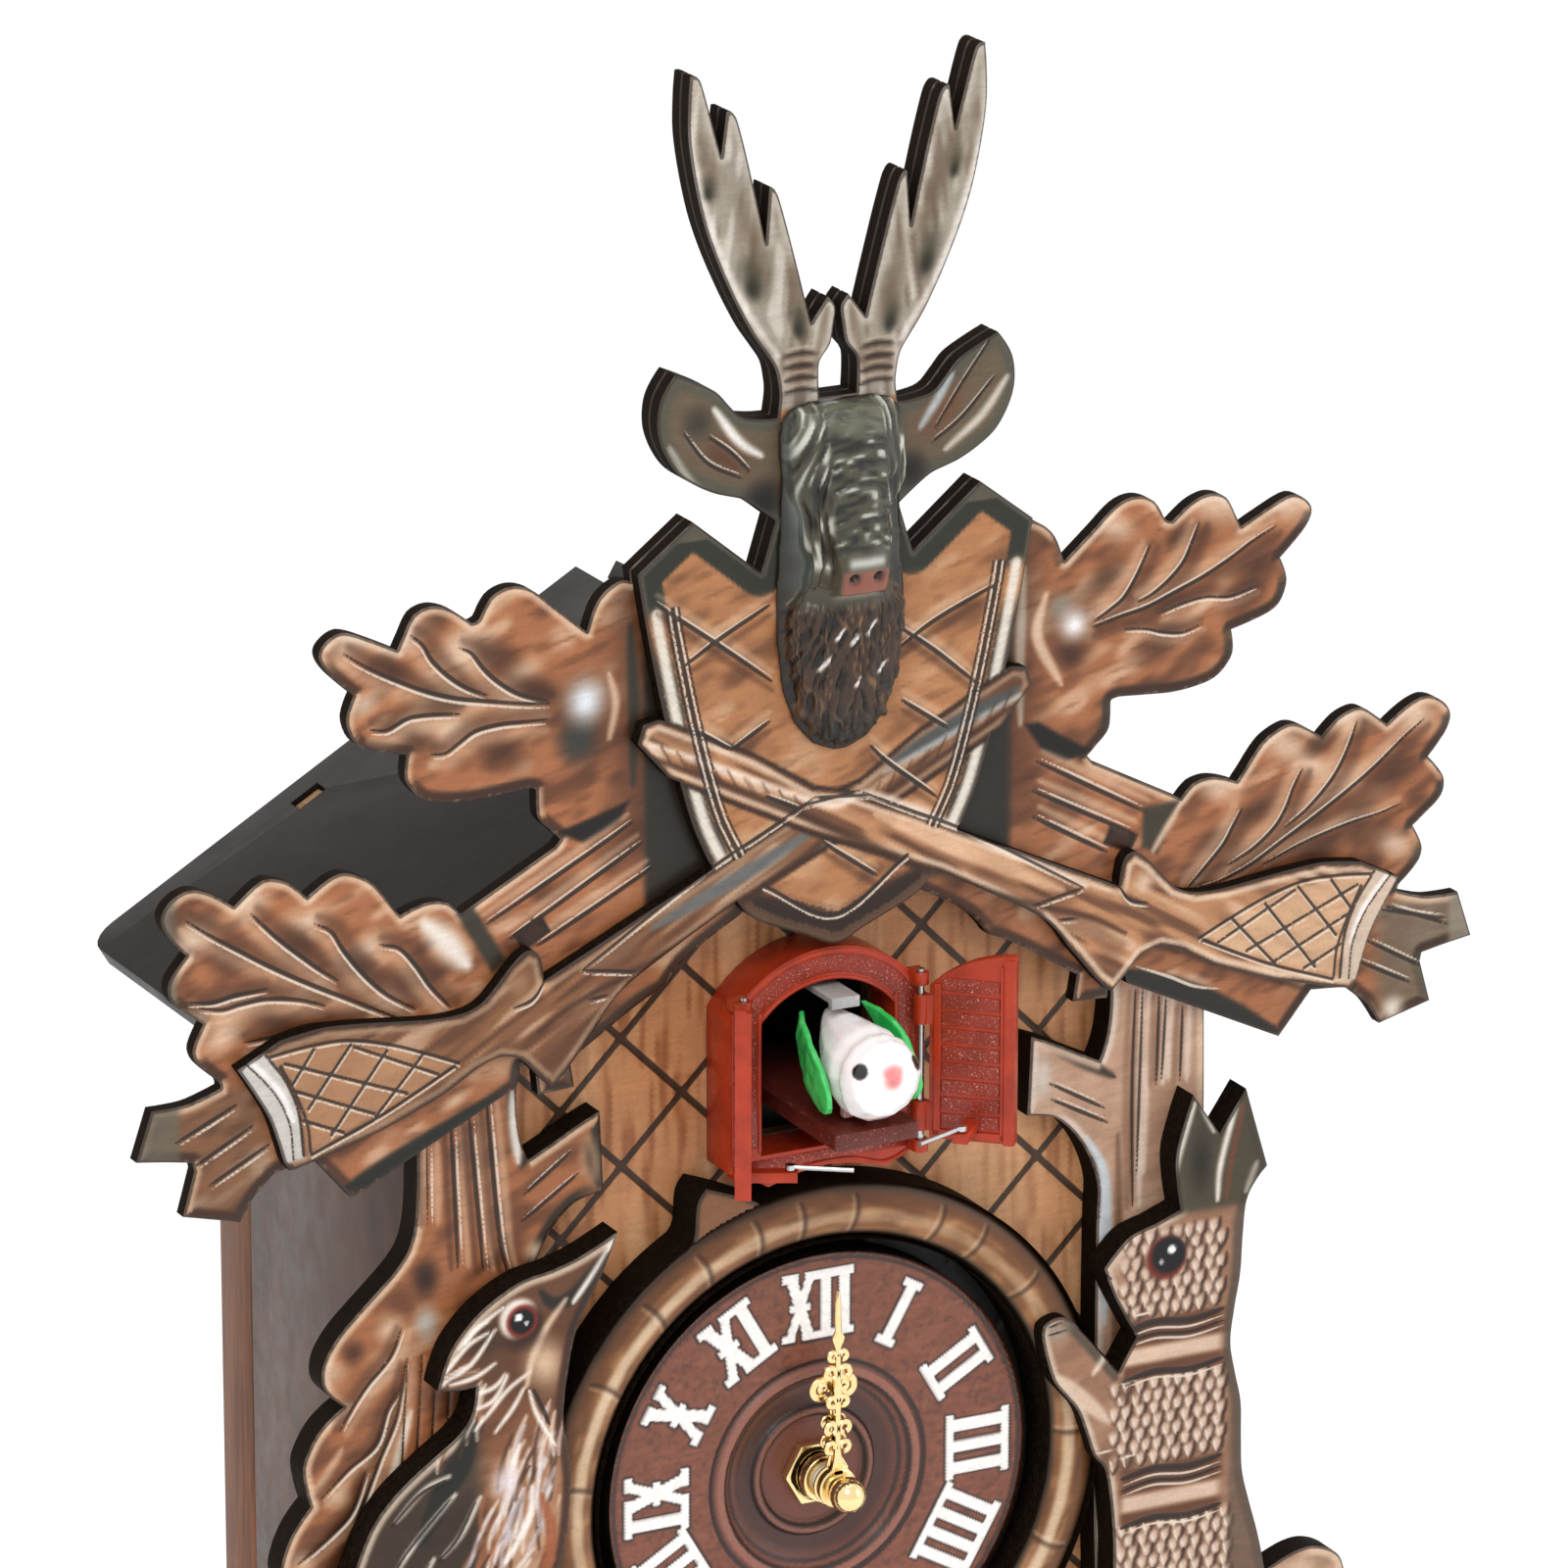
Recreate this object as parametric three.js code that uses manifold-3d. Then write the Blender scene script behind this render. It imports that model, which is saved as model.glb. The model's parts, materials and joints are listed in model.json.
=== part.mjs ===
// Wall cuckoo clock in the hunting-lodge style: a shallow gabled case, layered
// fretwork boards on its front, a quartz movement, and a bird that slides out
// between two small doors. Millimetres, +Z up, the viewer stands at -Y.
//
// The parts are drawn in the dial frame: x = 0 is the centre line, z = 0 is the
// height of the hand arbor and y = 0 is the face of the dial. The finished clock
// is then moved so that the nail it hangs on is at the origin.
import * as THREE from 'three';
import { mergeVertices } from 'three/addons/utils/BufferGeometryUtils.js';
import Module from 'manifold-3d';

const wasm = await Module();
wasm.setup();

// ---------------------------------------------------------------- dimensions
const GAP = 0.3;
const RUNNING = 0.1;
const WALL_Y = 98;
const NAIL_Z = 122;

const LAYER = 3.4;
const GABLE_Y = -3.4;
const CREST_Y = -7.1;
const TRUNK_Y = 0.3;
const TRUNK_T = 6.4;
const ANIMAL_Y = -6.9;

const PANEL_Y = 7;
const PANEL_T = 3.5;
const SIDE_OUT = 85;
const SIDE_IN = 81.3;
const STILE_Y = 83;
const BACK_Y = 88;
const BACK_T = 3.5;
const BASE_Z = -66;
const FLOOR_T = 3.7;

const RIDGE_Z = 164.3;
const ROOF_SLOPE = THREE.MathUtils.degToRad(30.2);
const ROOF_T = 4;
const ROOF_START = 5.2;
const ROOF_END = 130;
const ROOF_FRONT_Y = 0.3;
const ROOF_CORNER_R = 6;
const TAB = { near: 75.5, far: 81.5, clear: 0.35 };

const RING_R = 61.7;
const RING_BORE = 49.9;
const RING_Y = -3.5;
const DIAL_R = 46.4;

const DOORWAY = { half: 14.6, sill: 70.3, springR: 18.8, springZ: 85.5 };
const FRAME = { y: -3.5, half: 21.3, bottom: 64, archR: 25, archZ: 86 };
const PIN = { x: 19.4, y: -5.4, r: 0.7, low: 66.2, high: 104.2 };
const DOOR = { y: -7.1, t: 2.2, rimT: 3.2, sill: 69.5, hingeTop: 101, tipTop: 108.2 };
const DOOR_OPEN = { left: THREE.MathUtils.degToRad(117), right: THREE.MathUtils.degToRad(138) };
const PLATFORM = { half: 9.1, top: 80.3, t: 3.4, front: -24.2, length: 54 };
const HOUSING = { half: 21, low: 63, high: 113, front: 10.8, back: 73, wall: 1.5 };

const MOVEMENT = { half: 28, front: 10.8, back: 27, wall: 1.5 };
const MOTION_Z = -12.5;
const PENDULUM = { y: 16, z: -34, length: 112 };

// ---------------------------------------------------------------- materials
const COLOURS = {
  carvedWood: [0x9a6236, 0.5, 0],
  crestWood: [0xa06c3d, 0.5, 0],
  panelWood: [0xc08d58, 0.6, 0],
  caseWood: [0x6b4c3a, 0.45, 0],
  stileWood: [0x75472a, 0.5, 0],
  roofBoard: [0x2c2522, 0.55, 0],
  backBoard: [0x8a6846, 0.8, 0],
  stagResin: [0x4b4a3c, 0.35, 0],
  dialPlastic: [0x8a5238, 0.55, 0],
  brass: [0xd9c27a, 0.25, 1],
  steel: [0xb9bcc0, 0.3, 1],
  doorPlastic: [0xb4441f, 0.3, 0],
  platformPlastic: [0x6d2c22, 0.35, 0],
  birdPlastic: [0xf2efee, 0.3, 0],
  wingPlastic: [0x25a24c, 0.35, 0],
  greyPlastic: [0xa9aaa8, 0.4, 0],
  blackPlastic: [0x1b1b1c, 0.5, 0],
  whitePlastic: [0xe6e4dc, 0.4, 0],
  circuitBoard: [0x2d6b3a, 0.5, 0],
  copper: [0xb5693a, 0.4, 1],
  batteryCase: [0x5f6468, 0.35, 0.4],
};

const clock = new THREE.Group();
clock.name = 'cuckoo_clock';
clock.position.set(0, -WALL_Y, -NAIL_Z);

function addPart(name, geometry, colour, place) {
  const [hex, roughness, metalness] = COLOURS[colour];
  const material = new THREE.MeshStandardMaterial({ color: hex, roughness, metalness });
  const mesh = new THREE.Mesh(welded(geometry), material);
  mesh.name = name;
  if (place) {
    place(mesh);
  }
  clock.add(mesh);
}

// ---------------------------------------------------------------- shape tools
function welded(geometry) {
  const plain = geometry.clone();
  plain.deleteAttribute('normal');
  plain.deleteAttribute('uv');
  return mergeVertices(plain, 1e-4);
}

function solid(geometry) {
  const merged = welded(geometry);
  return new wasm.Manifold(new wasm.Mesh({
    numProp: 3,
    vertProperties: new Float32Array(merged.attributes.position.array),
    triVerts: new Uint32Array(merged.index.array),
  }));
}

function fromSolid(manifold) {
  const mesh = manifold.getMesh();
  const geometry = new THREE.BufferGeometry();
  geometry.setAttribute('position', new THREE.BufferAttribute(new Float32Array(mesh.vertProperties), 3));
  geometry.setIndex(new THREE.BufferAttribute(new Uint32Array(mesh.triVerts), 1));
  return geometry;
}

function join(...geometries) {
  return fromSolid(geometries.map(solid).reduce((all, next) => all.add(next)));
}

function cut(body, ...tools) {
  return fromSolid(tools.map(solid).reduce((rest, tool) => rest.subtract(tool), solid(body)));
}

// Reflects a closed geometry in the plane x = 0 and keeps its faces outward.
function mirrored(geometry) {
  const copy = welded(geometry);
  copy.scale(-1, 1, 1);
  const index = copy.index.array;
  for (let i = 0; i < index.length; i += 3) {
    [index[i + 1], index[i + 2]] = [index[i + 2], index[i + 1]];
  }
  return copy;
}

// Points are [x, z] or [x, z, 1]; the 1 marks a sharp corner. Between corners
// the outline is one smooth curve, and between two neighbouring corners a line.
function outline(points, steps = 2) {
  const first = points.findIndex((point) => point[2]);
  const turned = [...points.slice(first), ...points.slice(0, first)];
  turned.push(turned[0]);
  const path = [];
  let stretch = [];
  for (const point of turned) {
    stretch.push(new THREE.Vector2(point[0], point[1]));
    if (point[2] && stretch.length > 1) {
      path.push(...smoothStretch(stretch, steps));
      stretch = [new THREE.Vector2(point[0], point[1])];
    }
  }
  return path;
}

function smoothStretch(stretch, steps) {
  if (stretch.length === 2) {
    return [stretch[0]];
  }
  return new THREE.SplineCurve(stretch).getPoints(steps * (stretch.length - 1)).slice(0, -1);
}

function flip(points) {
  return points.map(([x, z, corner]) => [-x, z, corner]).reverse();
}

// A flat board in the XZ plane, from y = front backwards by its thickness.
function board(points, front, thickness, holes = []) {
  const shape = new THREE.Shape(points);
  for (const hole of holes) {
    shape.holes.push(new THREE.Path(hole));
  }
  const sheet = new THREE.ExtrudeGeometry(shape, { depth: thickness, bevelEnabled: false });
  sheet.rotateX(Math.PI / 2);
  sheet.translate(0, front + thickness, 0);
  return sheet;
}

// A flat plate in the XY plane, from z = low upwards.
function plate(points, low, thickness, holes = []) {
  const shape = new THREE.Shape(points);
  for (const hole of holes) {
    shape.holes.push(new THREE.Path(hole));
  }
  const sheet = new THREE.ExtrudeGeometry(shape, { depth: thickness, bevelEnabled: false });
  sheet.translate(0, 0, low);
  return sheet;
}

function vectors(...pairs) {
  return pairs.map(([a, b]) => new THREE.Vector2(a, b));
}

function rectangle(x0, x1, z0, z1) {
  return vectors([x0, z0], [x1, z0], [x1, z1], [x0, z1]);
}

function circle(x, z, radius, count = 24) {
  const points = [];
  for (let i = 0; i < count; i += 1) {
    const angle = (2 * Math.PI * i) / count;
    points.push(new THREE.Vector2(x + radius * Math.cos(angle), z + radius * Math.sin(angle)));
  }
  return points;
}

function block(x0, x1, y0, y1, z0, z1) {
  const box = new THREE.BoxGeometry(x1 - x0, y1 - y0, z1 - z0);
  box.translate((x0 + x1) / 2, (y0 + y1) / 2, (z0 + z1) / 2);
  return box;
}

function rodY(x, z, radius, y0, y1, count = 24) {
  const rod = new THREE.CylinderGeometry(radius, radius, y1 - y0, count);
  rod.translate(x, (y0 + y1) / 2, z);
  return rod;
}

function rodZ(x, y, radius, z0, z1, count = 16) {
  const rod = new THREE.CylinderGeometry(radius, radius, z1 - z0, count);
  rod.rotateX(Math.PI / 2);
  rod.translate(x, y, (z0 + z1) / 2);
  return rod;
}

// A turned part about the arbor axis from [radius, y] profile points.
function turned(profile, segments = 48) {
  const points = profile.map(([r, y]) => new THREE.Vector2(r, y));
  return new THREE.LatheGeometry([...points, points[0]], segments);
}

// Skins a closed body over a list of equal rings of points.
function loft(rings) {
  const size = rings[0].length;
  const positions = rings.flat().flatMap((point) => [point.x, point.y, point.z]);
  const faces = [];
  for (let i = 0; i + 1 < rings.length; i += 1) {
    for (let j = 0; j < size; j += 1) {
      const a = i * size + j;
      const b = i * size + ((j + 1) % size);
      faces.push(a, b, b + size, a, b + size, a + size);
    }
  }
  const last = (rings.length - 1) * size;
  for (let j = 1; j + 1 < size; j += 1) {
    faces.push(0, j + 1, j);
    faces.push(last, last + j, last + j + 1);
  }
  const geometry = new THREE.BufferGeometry();
  geometry.setAttribute('position', new THREE.Float32BufferAttribute(positions, 3));
  geometry.setIndex(faces);
  return geometry;
}

// Height of the roof slabs' underside above a point x, less a working gap.
function underRoof(x) {
  return RIDGE_Z - ROOF_T / Math.cos(ROOF_SLOPE) - GAP - Math.abs(x) * Math.tan(ROOF_SLOPE);
}

// An arch: straight sides, a segmental top, a flat foot.
function archPoints(half, foot, radius, centreZ, count = 12) {
  const edge = Math.asin(half / radius);
  const points = [new THREE.Vector2(-half, foot), new THREE.Vector2(half, foot)];
  for (let i = 0; i <= count; i += 1) {
    const angle = edge - (2 * edge * i) / count;
    points.push(new THREE.Vector2(radius * Math.sin(angle), centreZ + radius * Math.cos(angle)));
  }
  return points;
}

// ---------------------------------------------------------------- case
function sideProfile() {
  return vectors(
    [SIDE_IN, BASE_Z],
    [SIDE_OUT, BASE_Z],
    [SIDE_OUT, underRoof(SIDE_OUT)],
    [SIDE_IN, underRoof(SIDE_IN)],
  );
}

function gabledPoints(half, foot) {
  return vectors([-half, foot], [half, foot], [half, underRoof(half)], [0, underRoof(0)], [-half, underRoof(half)]);
}

function buildCase() {
  const inner = SIDE_IN - GAP;
  const wall = board(sideProfile(), PANEL_Y, STILE_Y - GAP - PANEL_Y);
  addPart('side_right', wall, 'caseWood');
  addPart('side_left', mirrored(wall), 'caseWood');
  const stile = board(sideProfile(), STILE_Y, WALL_Y - STILE_Y);
  addPart('rear_stile_right', stile, 'stileWood');
  addPart('rear_stile_left', mirrored(stile), 'stileWood');

  const doorway = archPoints(DOORWAY.half, DOORWAY.sill, DOORWAY.springR, DOORWAY.springZ);
  const front = board(gabledPoints(inner, BASE_Z), PANEL_Y, PANEL_T, [doorway, circle(0, 0, 5.4)]);
  addPart('front_panel', front, 'panelWood');

  const slot = vectors([-14, 12.5], [14, 12.5], [14, 20.5], [-14, 20.5]);
  const floorFront = PANEL_Y + PANEL_T + GAP;
  const floor = vectors([-inner, floorFront], [inner, floorFront], [inner, BACK_Y - GAP], [-inner, BACK_Y - GAP]);
  addPart('bottom_board', plate(floor, BASE_Z, FLOOR_T, [slot]), 'caseWood');
}

function roofSlab() {
  const back = WALL_Y;
  const arcSteps = 5;
  const outlinePoints = vectors([ROOF_START, ROOF_FRONT_Y], [ROOF_END, ROOF_FRONT_Y]);
  for (let i = 0; i <= arcSteps; i += 1) {
    const angle = (Math.PI / 2) * (i / arcSteps);
    outlinePoints.push(new THREE.Vector2(
      ROOF_END - ROOF_CORNER_R + ROOF_CORNER_R * Math.cos(angle),
      back - ROOF_CORNER_R + ROOF_CORNER_R * Math.sin(angle),
    ));
  }
  outlinePoints.push(new THREE.Vector2(ROOF_START, back));
  const hole = vectors(
    [TAB.near - TAB.clear, BACK_Y - TAB.clear],
    [TAB.far + TAB.clear, BACK_Y - TAB.clear],
    [TAB.far + TAB.clear, BACK_Y + BACK_T + TAB.clear],
    [TAB.near - TAB.clear, BACK_Y + BACK_T + TAB.clear],
  );
  const slab = plate(outlinePoints, -ROOF_T, ROOF_T, [hole]);
  slab.rotateY(ROOF_SLOPE);
  slab.translate(0, 0, RIDGE_Z);
  return slab;
}

// A tongue on the back panel that rises into the slot of the right roof slab.
function roofTab() {
  const tongue = plate(rectangle(TAB.near, TAB.far, BACK_Y, BACK_Y + BACK_T), -ROOF_T - 2, ROOF_T + 1);
  tongue.rotateY(ROOF_SLOPE);
  tongue.translate(0, 0, RIDGE_Z);
  return tongue;
}

function buildRoof() {
  addPart('roof_right', roofSlab(), 'roofBoard');
  addPart('roof_left', mirrored(roofSlab()), 'roofBoard');
}

const ACCESS = { half: 40, low: -40, high: 60, lap: 4, t: 3, pinX: -46.2, pinY: 93.4, pinR: 0.9, barrelR: 1.5 };

function keyhole() {
  const points = [];
  const roundZ = NAIL_Z - 7.5;
  const round = 4.6;
  const neck = 2.4;
  const shoulder = Math.asin(neck / round);
  for (let i = 0; i <= 16; i += 1) {
    const angle = Math.PI / 2 - shoulder - ((2 * Math.PI - 2 * shoulder) * i) / 16;
    points.push(new THREE.Vector2(round * Math.cos(angle), roundZ + round * Math.sin(angle)));
  }
  for (let i = 0; i <= 6; i += 1) {
    const angle = Math.PI - (Math.PI * i) / 6;
    points.push(new THREE.Vector2(neck * Math.cos(angle), NAIL_Z + neck * Math.sin(angle)));
  }
  return points;
}

function buildBack() {
  const inner = SIDE_IN - GAP;
  const opening = rectangle(-ACCESS.half, ACCESS.half, ACCESS.low, ACCESS.high);
  const panel = board(gabledPoints(inner, BASE_Z), BACK_Y, BACK_T, [opening]);
  addPart('back_panel', join(panel, roofTab(), mirrored(roofTab())), 'backBoard');

  const battenY = BACK_Y + BACK_T + GAP;
  const pocket = rectangle(-7, 7, NAIL_Z - 15, NAIL_Z + 5);
  const batten = board(rectangle(-40, 40, NAIL_Z - 17, NAIL_Z + 10), battenY, 4, [pocket]);
  addPart('hanger_batten', batten, 'backBoard');
  const steel = board(rectangle(-20, 20, NAIL_Z - 14, NAIL_Z + 8), battenY + 4 + GAP, 1.5, [keyhole()]);
  addPart('hanger_plate', steel, 'steel');
  addPart('foot_batten', block(-25, 25, battenY, WALL_Y, -62, -48), 'backBoard');
  buildAccessDoor(battenY);
}

function buildAccessDoor(doorY) {
  const { half, low, high, lap, t, pinX, pinY, pinR, barrelR } = ACCESS;
  const bore = rodZ(pinX, pinY, pinR + RUNNING, low - 10, high + 10);
  let leaf = block(-half - lap, half + lap, doorY, doorY + t, low - lap, high + lap);
  let bracket = rodZ(pinX, pinY, pinR, low - 2, high + 2, 12);
  for (const z of [low + 4, high - 14]) {
    const web = block(pinX, -half, pinY - 0.7, pinY + 0.7, z, z + 10);
    leaf = join(leaf, rodZ(pinX, pinY, barrelR, z, z + 10, 12), web);
    for (const end of [z - 5.3, z + 10.3]) {
      const foot = block(pinX - 9, pinX, doorY, doorY + 1, end, end + 5);
      bracket = join(bracket, rodZ(pinX, pinY, barrelR, end, end + 5, 12), foot);
    }
  }
  const strip = block(pinX - 9, pinX - 2.4, doorY, doorY + 1, low - 1.3, high + 1.3);
  addPart('access_door', cut(leaf, bore), 'backBoard');
  addPart('access_hinge', join(bracket, strip), 'steel');
}

// ---------------------------------------------------------------- front boards
const LEAF_HALF = [
  [38, 184, 1], [42, 190.4], [46, 190.2], [49.5, 187], [51.5, 181.8, 1],
  [58.5, 187.8], [63, 191.6], [67.4, 192.8], [71.5, 191.2], [74, 187.2, 1],
  [75.5, 186.7, 1], [79.5, 189.8], [83.8, 191.2], [87.5, 190], [89.5, 186.6], [91, 183.6, 1],
  [97, 186.6], [102.4, 188.6], [106, 186.8], [107, 184.3], [105, 180.8], [100, 176, 1],
  [101.6, 171.5], [100, 166.8], [96, 164.6], [89.2, 162.8, 1],
  [89.6, 158], [86.5, 154], [82, 152.4], [75, 151.8], [64, 152.5], [62.3, 151.6, 1],
  [62, 146.5], [59.5, 143.6], [57.2, 141.4, 1], [58.4, 140, 1], [78.3, 129.6, 1],
  [81, 132.2], [84.8, 133], [88.5, 132.2], [91, 131.2, 1],
  [93, 133.8], [97, 138.8], [102.5, 141.4], [106.5, 140.2], [110.2, 137.8, 1],
  [114, 141.2], [118.4, 142.6], [121.5, 141.2], [125.2, 138.2, 1],
  [129.5, 141.2], [134, 142.8], [138, 141.2], [140, 138.2], [138.8, 134.5], [135, 130, 1],
  [138.6, 125.5], [138.3, 121.5], [135, 118.5], [131.8, 116, 1],
  [134, 111.5], [133, 108], [128.8, 104, 1],
];

const TWIG_HALF = [
  [128.5, 102.7, 1], [135.4, 100.6], [142.7, 100.4, 1], [146, 90.7, 1], [140, 89.8], [134.6, 88.8, 1],
  [134.2, 87, 1], [136.7, 78.3, 1], [125, 75.3, 1], [121.5, 80.5], [117, 84.1, 1], [109, 84.9, 1],
  [101.7, 76.2, 1], [66.7, 93, 1], [66, 97, 1], [63, 97, 1], [62.3, 90.6, 1], [54.6, 91, 1],
  [55.5, 96.5, 1], [46.7, 102], [40, 106], [35.5, 108, 1], [30.5, 113.5], [19, 120.3, 1], [12, 128, 1],
];

const SHIELD_HALF = [
  [0, 112.8, 1], [13.7, 118.4], [19.5, 122], [26.3, 131.2, 1], [31, 141.5], [36, 159.5],
  [40, 178.2], [42.5, 192.7, 1], [30.9, 201.6, 1], [16.3, 189.6, 1], [13.2, 199.5, 1],
];

const EAR_HALF = [
  [13.2, 199.5, 1], [20, 204.5], [26.3, 206.6], [34, 211.4], [38, 219], [37.6, 226],
  [34.5, 230.8, 1], [26, 226.5], [20.5, 220.8], [12.9, 219.6, 1], [12.4, 223.4, 1],
];

const ANTLER_HALF = [
  [12.4, 223.4, 1], [13.4, 229.5], [18.2, 236.6], [23.6, 247], [28.6, 260], [31.6, 276],
  [31.2, 287.8, 1], [29.2, 287], [26.8, 279], [24.8, 271.8, 1], [23.6, 280.4, 1], [21.6, 279],
  [18.6, 268], [15.4, 254, 1], [14.6, 264.8, 1], [12.8, 263], [9.2, 250.5], [5.8, 237.4, 1],
  [2.2, 242.2, 1], [0.6, 240, 1], [1.6, 233], [4, 229.5], [4, 223, 1], [0, 222.5, 1],
];

const RIFLE = [
  [-42.6, 159.2, 1], [-41.4, 162.8, 1], [-38, 163.4, 1], [-18, 153.5, 1], [-5, 145.2], [2, 143.4, 1],
  [62.6, 114.9, 1], [63.5, 119.8], [66, 121.5], [69.6, 118.9], [75.2, 112.9], [80, 111],
  [87, 110.9], [97.5, 112], [108.7, 112.8], [117.8, 111.6, 1], [126.6, 107.2, 1],
  [120.4, 96.8], [117.2, 87], [115.4, 85.4, 1], [98, 90], [84.4, 95.2], [77, 99.4],
  [72, 101], [67.7, 99.8], [64.4, 96.3], [61.2, 93.2, 1], [57.8, 96.3], [51.1, 104.5],
  [44.5, 111.6], [22.7, 123.9, 1], [-5, 135.8, 1], [-36, 151.6, 1],
];

function closedHalf(points) {
  return [...points, ...flip(points)];
}

function crestOutlineBoard(front, thickness) {
  const bust = outline(closedHalf([...SHIELD_HALF, ...EAR_HALF.slice(1), ...ANTLER_HALF.slice(1, -1), [4, 222.5, 1]]));
  return board(bust, front, thickness);
}

function buildCrest() {
  const leaves = board(outline([...LEAF_HALF, ...TWIG_HALF]), GABLE_Y, LAYER);
  const backer = crestOutlineBoard(GABLE_Y, LAYER);
  addPart('gable_board', join(backer, leaves, mirrored(leaves)), 'carvedWood');
  const rifle = board(outline(RIFLE), CREST_Y, LAYER);
  addPart('crest_board', join(crestOutlineBoard(CREST_Y, LAYER), rifle, mirrored(rifle)), 'crestWood');
  buildStagHead();
}

// The bust is a row of level rings: flat at the back, bulging to the front.
function buildStagHead() {
  const back = CREST_Y - GAP;
  const levels = [
    [152.6, 1.5, 1.2], [154.5, 6, 4.5], [159, 9.8, 7], [166, 12.4, 8.6], [176, 13.6, 9.6],
    [184, 13.8, 9.4], [186, 13.6, 11], [191, 13.2, 12.4], [198, 12.9, 11.6], [206, 12.7, 10.4],
    [211, 13, 9.4], [215.5, 13.2, 8.6], [219, 12.8, 7.4], [221.4, 10.8, 5.4], [222.4, 7, 3],
  ];
  const around = 12;
  const rings = levels.map(([z, half, depth]) => {
    const ring = [];
    for (let i = 0; i <= around; i += 1) {
      const angle = (Math.PI * i) / around;
      ring.push(new THREE.Vector3(-half * Math.cos(angle), back - depth * Math.sin(angle) ** 0.7, z));
    }
    return ring;
  });
  addPart('stag_head', loft(rings), 'stagResin');
}

const TRUNK_INNER = [
  [86.2, 100, 1], [64.8, 100, 1], [65.2, 88], [64.4, 80.7], [62.8, 76.2, 1], [57.5, 78.8], [51.5, 81.9],
  [47.4, 83.6, 1], [46.7, 67.2, 1], [52.4, 66], [57, 62.2], [60.6, 56.6], [62.8, 50], [62.7, 43], [62.6, 20],
  [62.9, -20], [63.5, -50], [60, -76, 1],
];
const RIGHT_FOLIAGE = [
  [87, -76, 1], [95, -81], [102, -77.5, 1], [107, -80], [114, -78], [117, -70, 1], [122, -67], [123.5, -60],
  [119.5, -53, 1], [122, -48], [120.5, -40.5], [114, -37.2], [107, -38.6], [99, -42.5, 1], [93, -34],
  [88.4, -22], [87.4, 20], [86.8, 70],
];
const LEFT_FOLIAGE = [
  [87, -76, 1], [90, -64], [97, -56.5, 1], [104, -50], [110, -42], [112, -31, 1], [117, -24], [117, -14],
  [113, -7, 1], [116.2, 0], [113.6, 8], [109.6, 13, 1], [111.1, 21.2], [107.4, 28.4], [102.3, 32.4, 1],
  [106.4, 36.6], [106.4, 42], [102.3, 48], [94.6, 55], [88.6, 61.5], [86.6, 70], [86.3, 85],
];

function buildTrunks() {
  addPart('trunk_right', board(outline([...TRUNK_INNER, ...RIGHT_FOLIAGE]), TRUNK_Y, TRUNK_T), 'carvedWood');
  const left = board(outline([...TRUNK_INNER, ...LEFT_FOLIAGE]), TRUNK_Y, TRUNK_T);
  addPart('trunk_left', mirrored(left), 'carvedWood');
}

const SQUIRREL = [
  [46.7, 22, 1], [46.9, 25], [50.5, 26.4], [54.8, 23.6], [64.1, 12.4, 1], [68.1, 19, 1], [63, 28.5],
  [60.5, 35, 1], [66, 40.5], [72.2, 42.5], [77.8, 44.5, 1], [76.6, 56], [80.3, 68.4, 1], [86.5, 59.2, 1],
  [92.4, 67.8, 1], [97.6, 50.6, 1], [93, 44], [91.8, 28.6], [89.8, 14.2], [92.4, 1], [93, -14],
  [96.6, -27.4], [99, -40], [98, -52], [92, -62], [82, -67], [72, -64, 1], [66, -54], [63.6, -40],
  [63.4, -24], [61.6, -9], [58.6, -4.6], [54.8, 5.7], [49.4, 12.8],
];
const CLINGING_BIRD = [
  [-47.2, 61.2, 1], [-50.5, 53.2], [-55.6, 44], [-58, 34.3], [-59, 24.3], [-57.6, 13.8], [-58.6, 0],
  [-63, -14], [-71, -28], [-82, -42], [-96, -56], [-108, -66, 1], [-112.5, -62, 1], [-111, -44],
  [-108.5, -22], [-106, -6], [-100, 9.5], [-91.6, 18.1], [-82.2, 24.6], [-78.6, 29], [-77.6, 34.6, 1],
  [-81, 34.4], [-85.8, 35.2, 1], [-83, 42.8], [-76.7, 49.7], [-68.3, 54.4], [-62, 55.6], [-55, 57.6],
];

// The figures are two layers thick; the rear one stops clear of the dial ring.
function figure(points) {
  const whole = board(outline(points), ANIMAL_Y, TRUNK_Y - GAP - ANIMAL_Y);
  return cut(whole, rodY(0, 0, RING_R + 0.6, RING_Y - GAP, TRUNK_Y, 80));
}

function buildFigures() {
  addPart('squirrel', figure(SQUIRREL), 'carvedWood');
  addPart('clinging_bird', figure(CLINGING_BIRD), 'carvedWood');
}

const BOTTOM_CARVING = [
  [0, -112, 1], [6, -106], [9, -99], [7.5, -94, 1], [14, -95], [20, -91], [20.5, -85, 1], [29, -90],
  [38, -97], [45, -98], [48, -94], [46, -88, 1], [54, -90], [62, -88.5], [64, -82, 1], [72, -84],
  [80, -81], [83, -76], [80, -70], [70, -64, 1], [56, -58], [40, -54, 1],
];

function buildBottomCarving() {
  const clearRing = rodY(0, 0, RING_R + GAP, GABLE_Y - 2, PANEL_Y, 80);
  const leaves = board(outline(closedHalf([...BOTTOM_CARVING, [20, -50, 1]])), GABLE_Y, LAYER);
  addPart('bottom_carving', cut(leaves, clearRing), 'carvedWood');
  const backerPoints = [[0, -96, 1], [18, -84], [40, -80], [56, -77, 1], [56, -50, 1], [20, -50, 1]];
  const backer = board(outline(closedHalf(backerPoints)), TRUNK_Y, TRUNK_T);
  addPart('carving_backer', cut(backer, clearRing), 'carvedWood');
}

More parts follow.
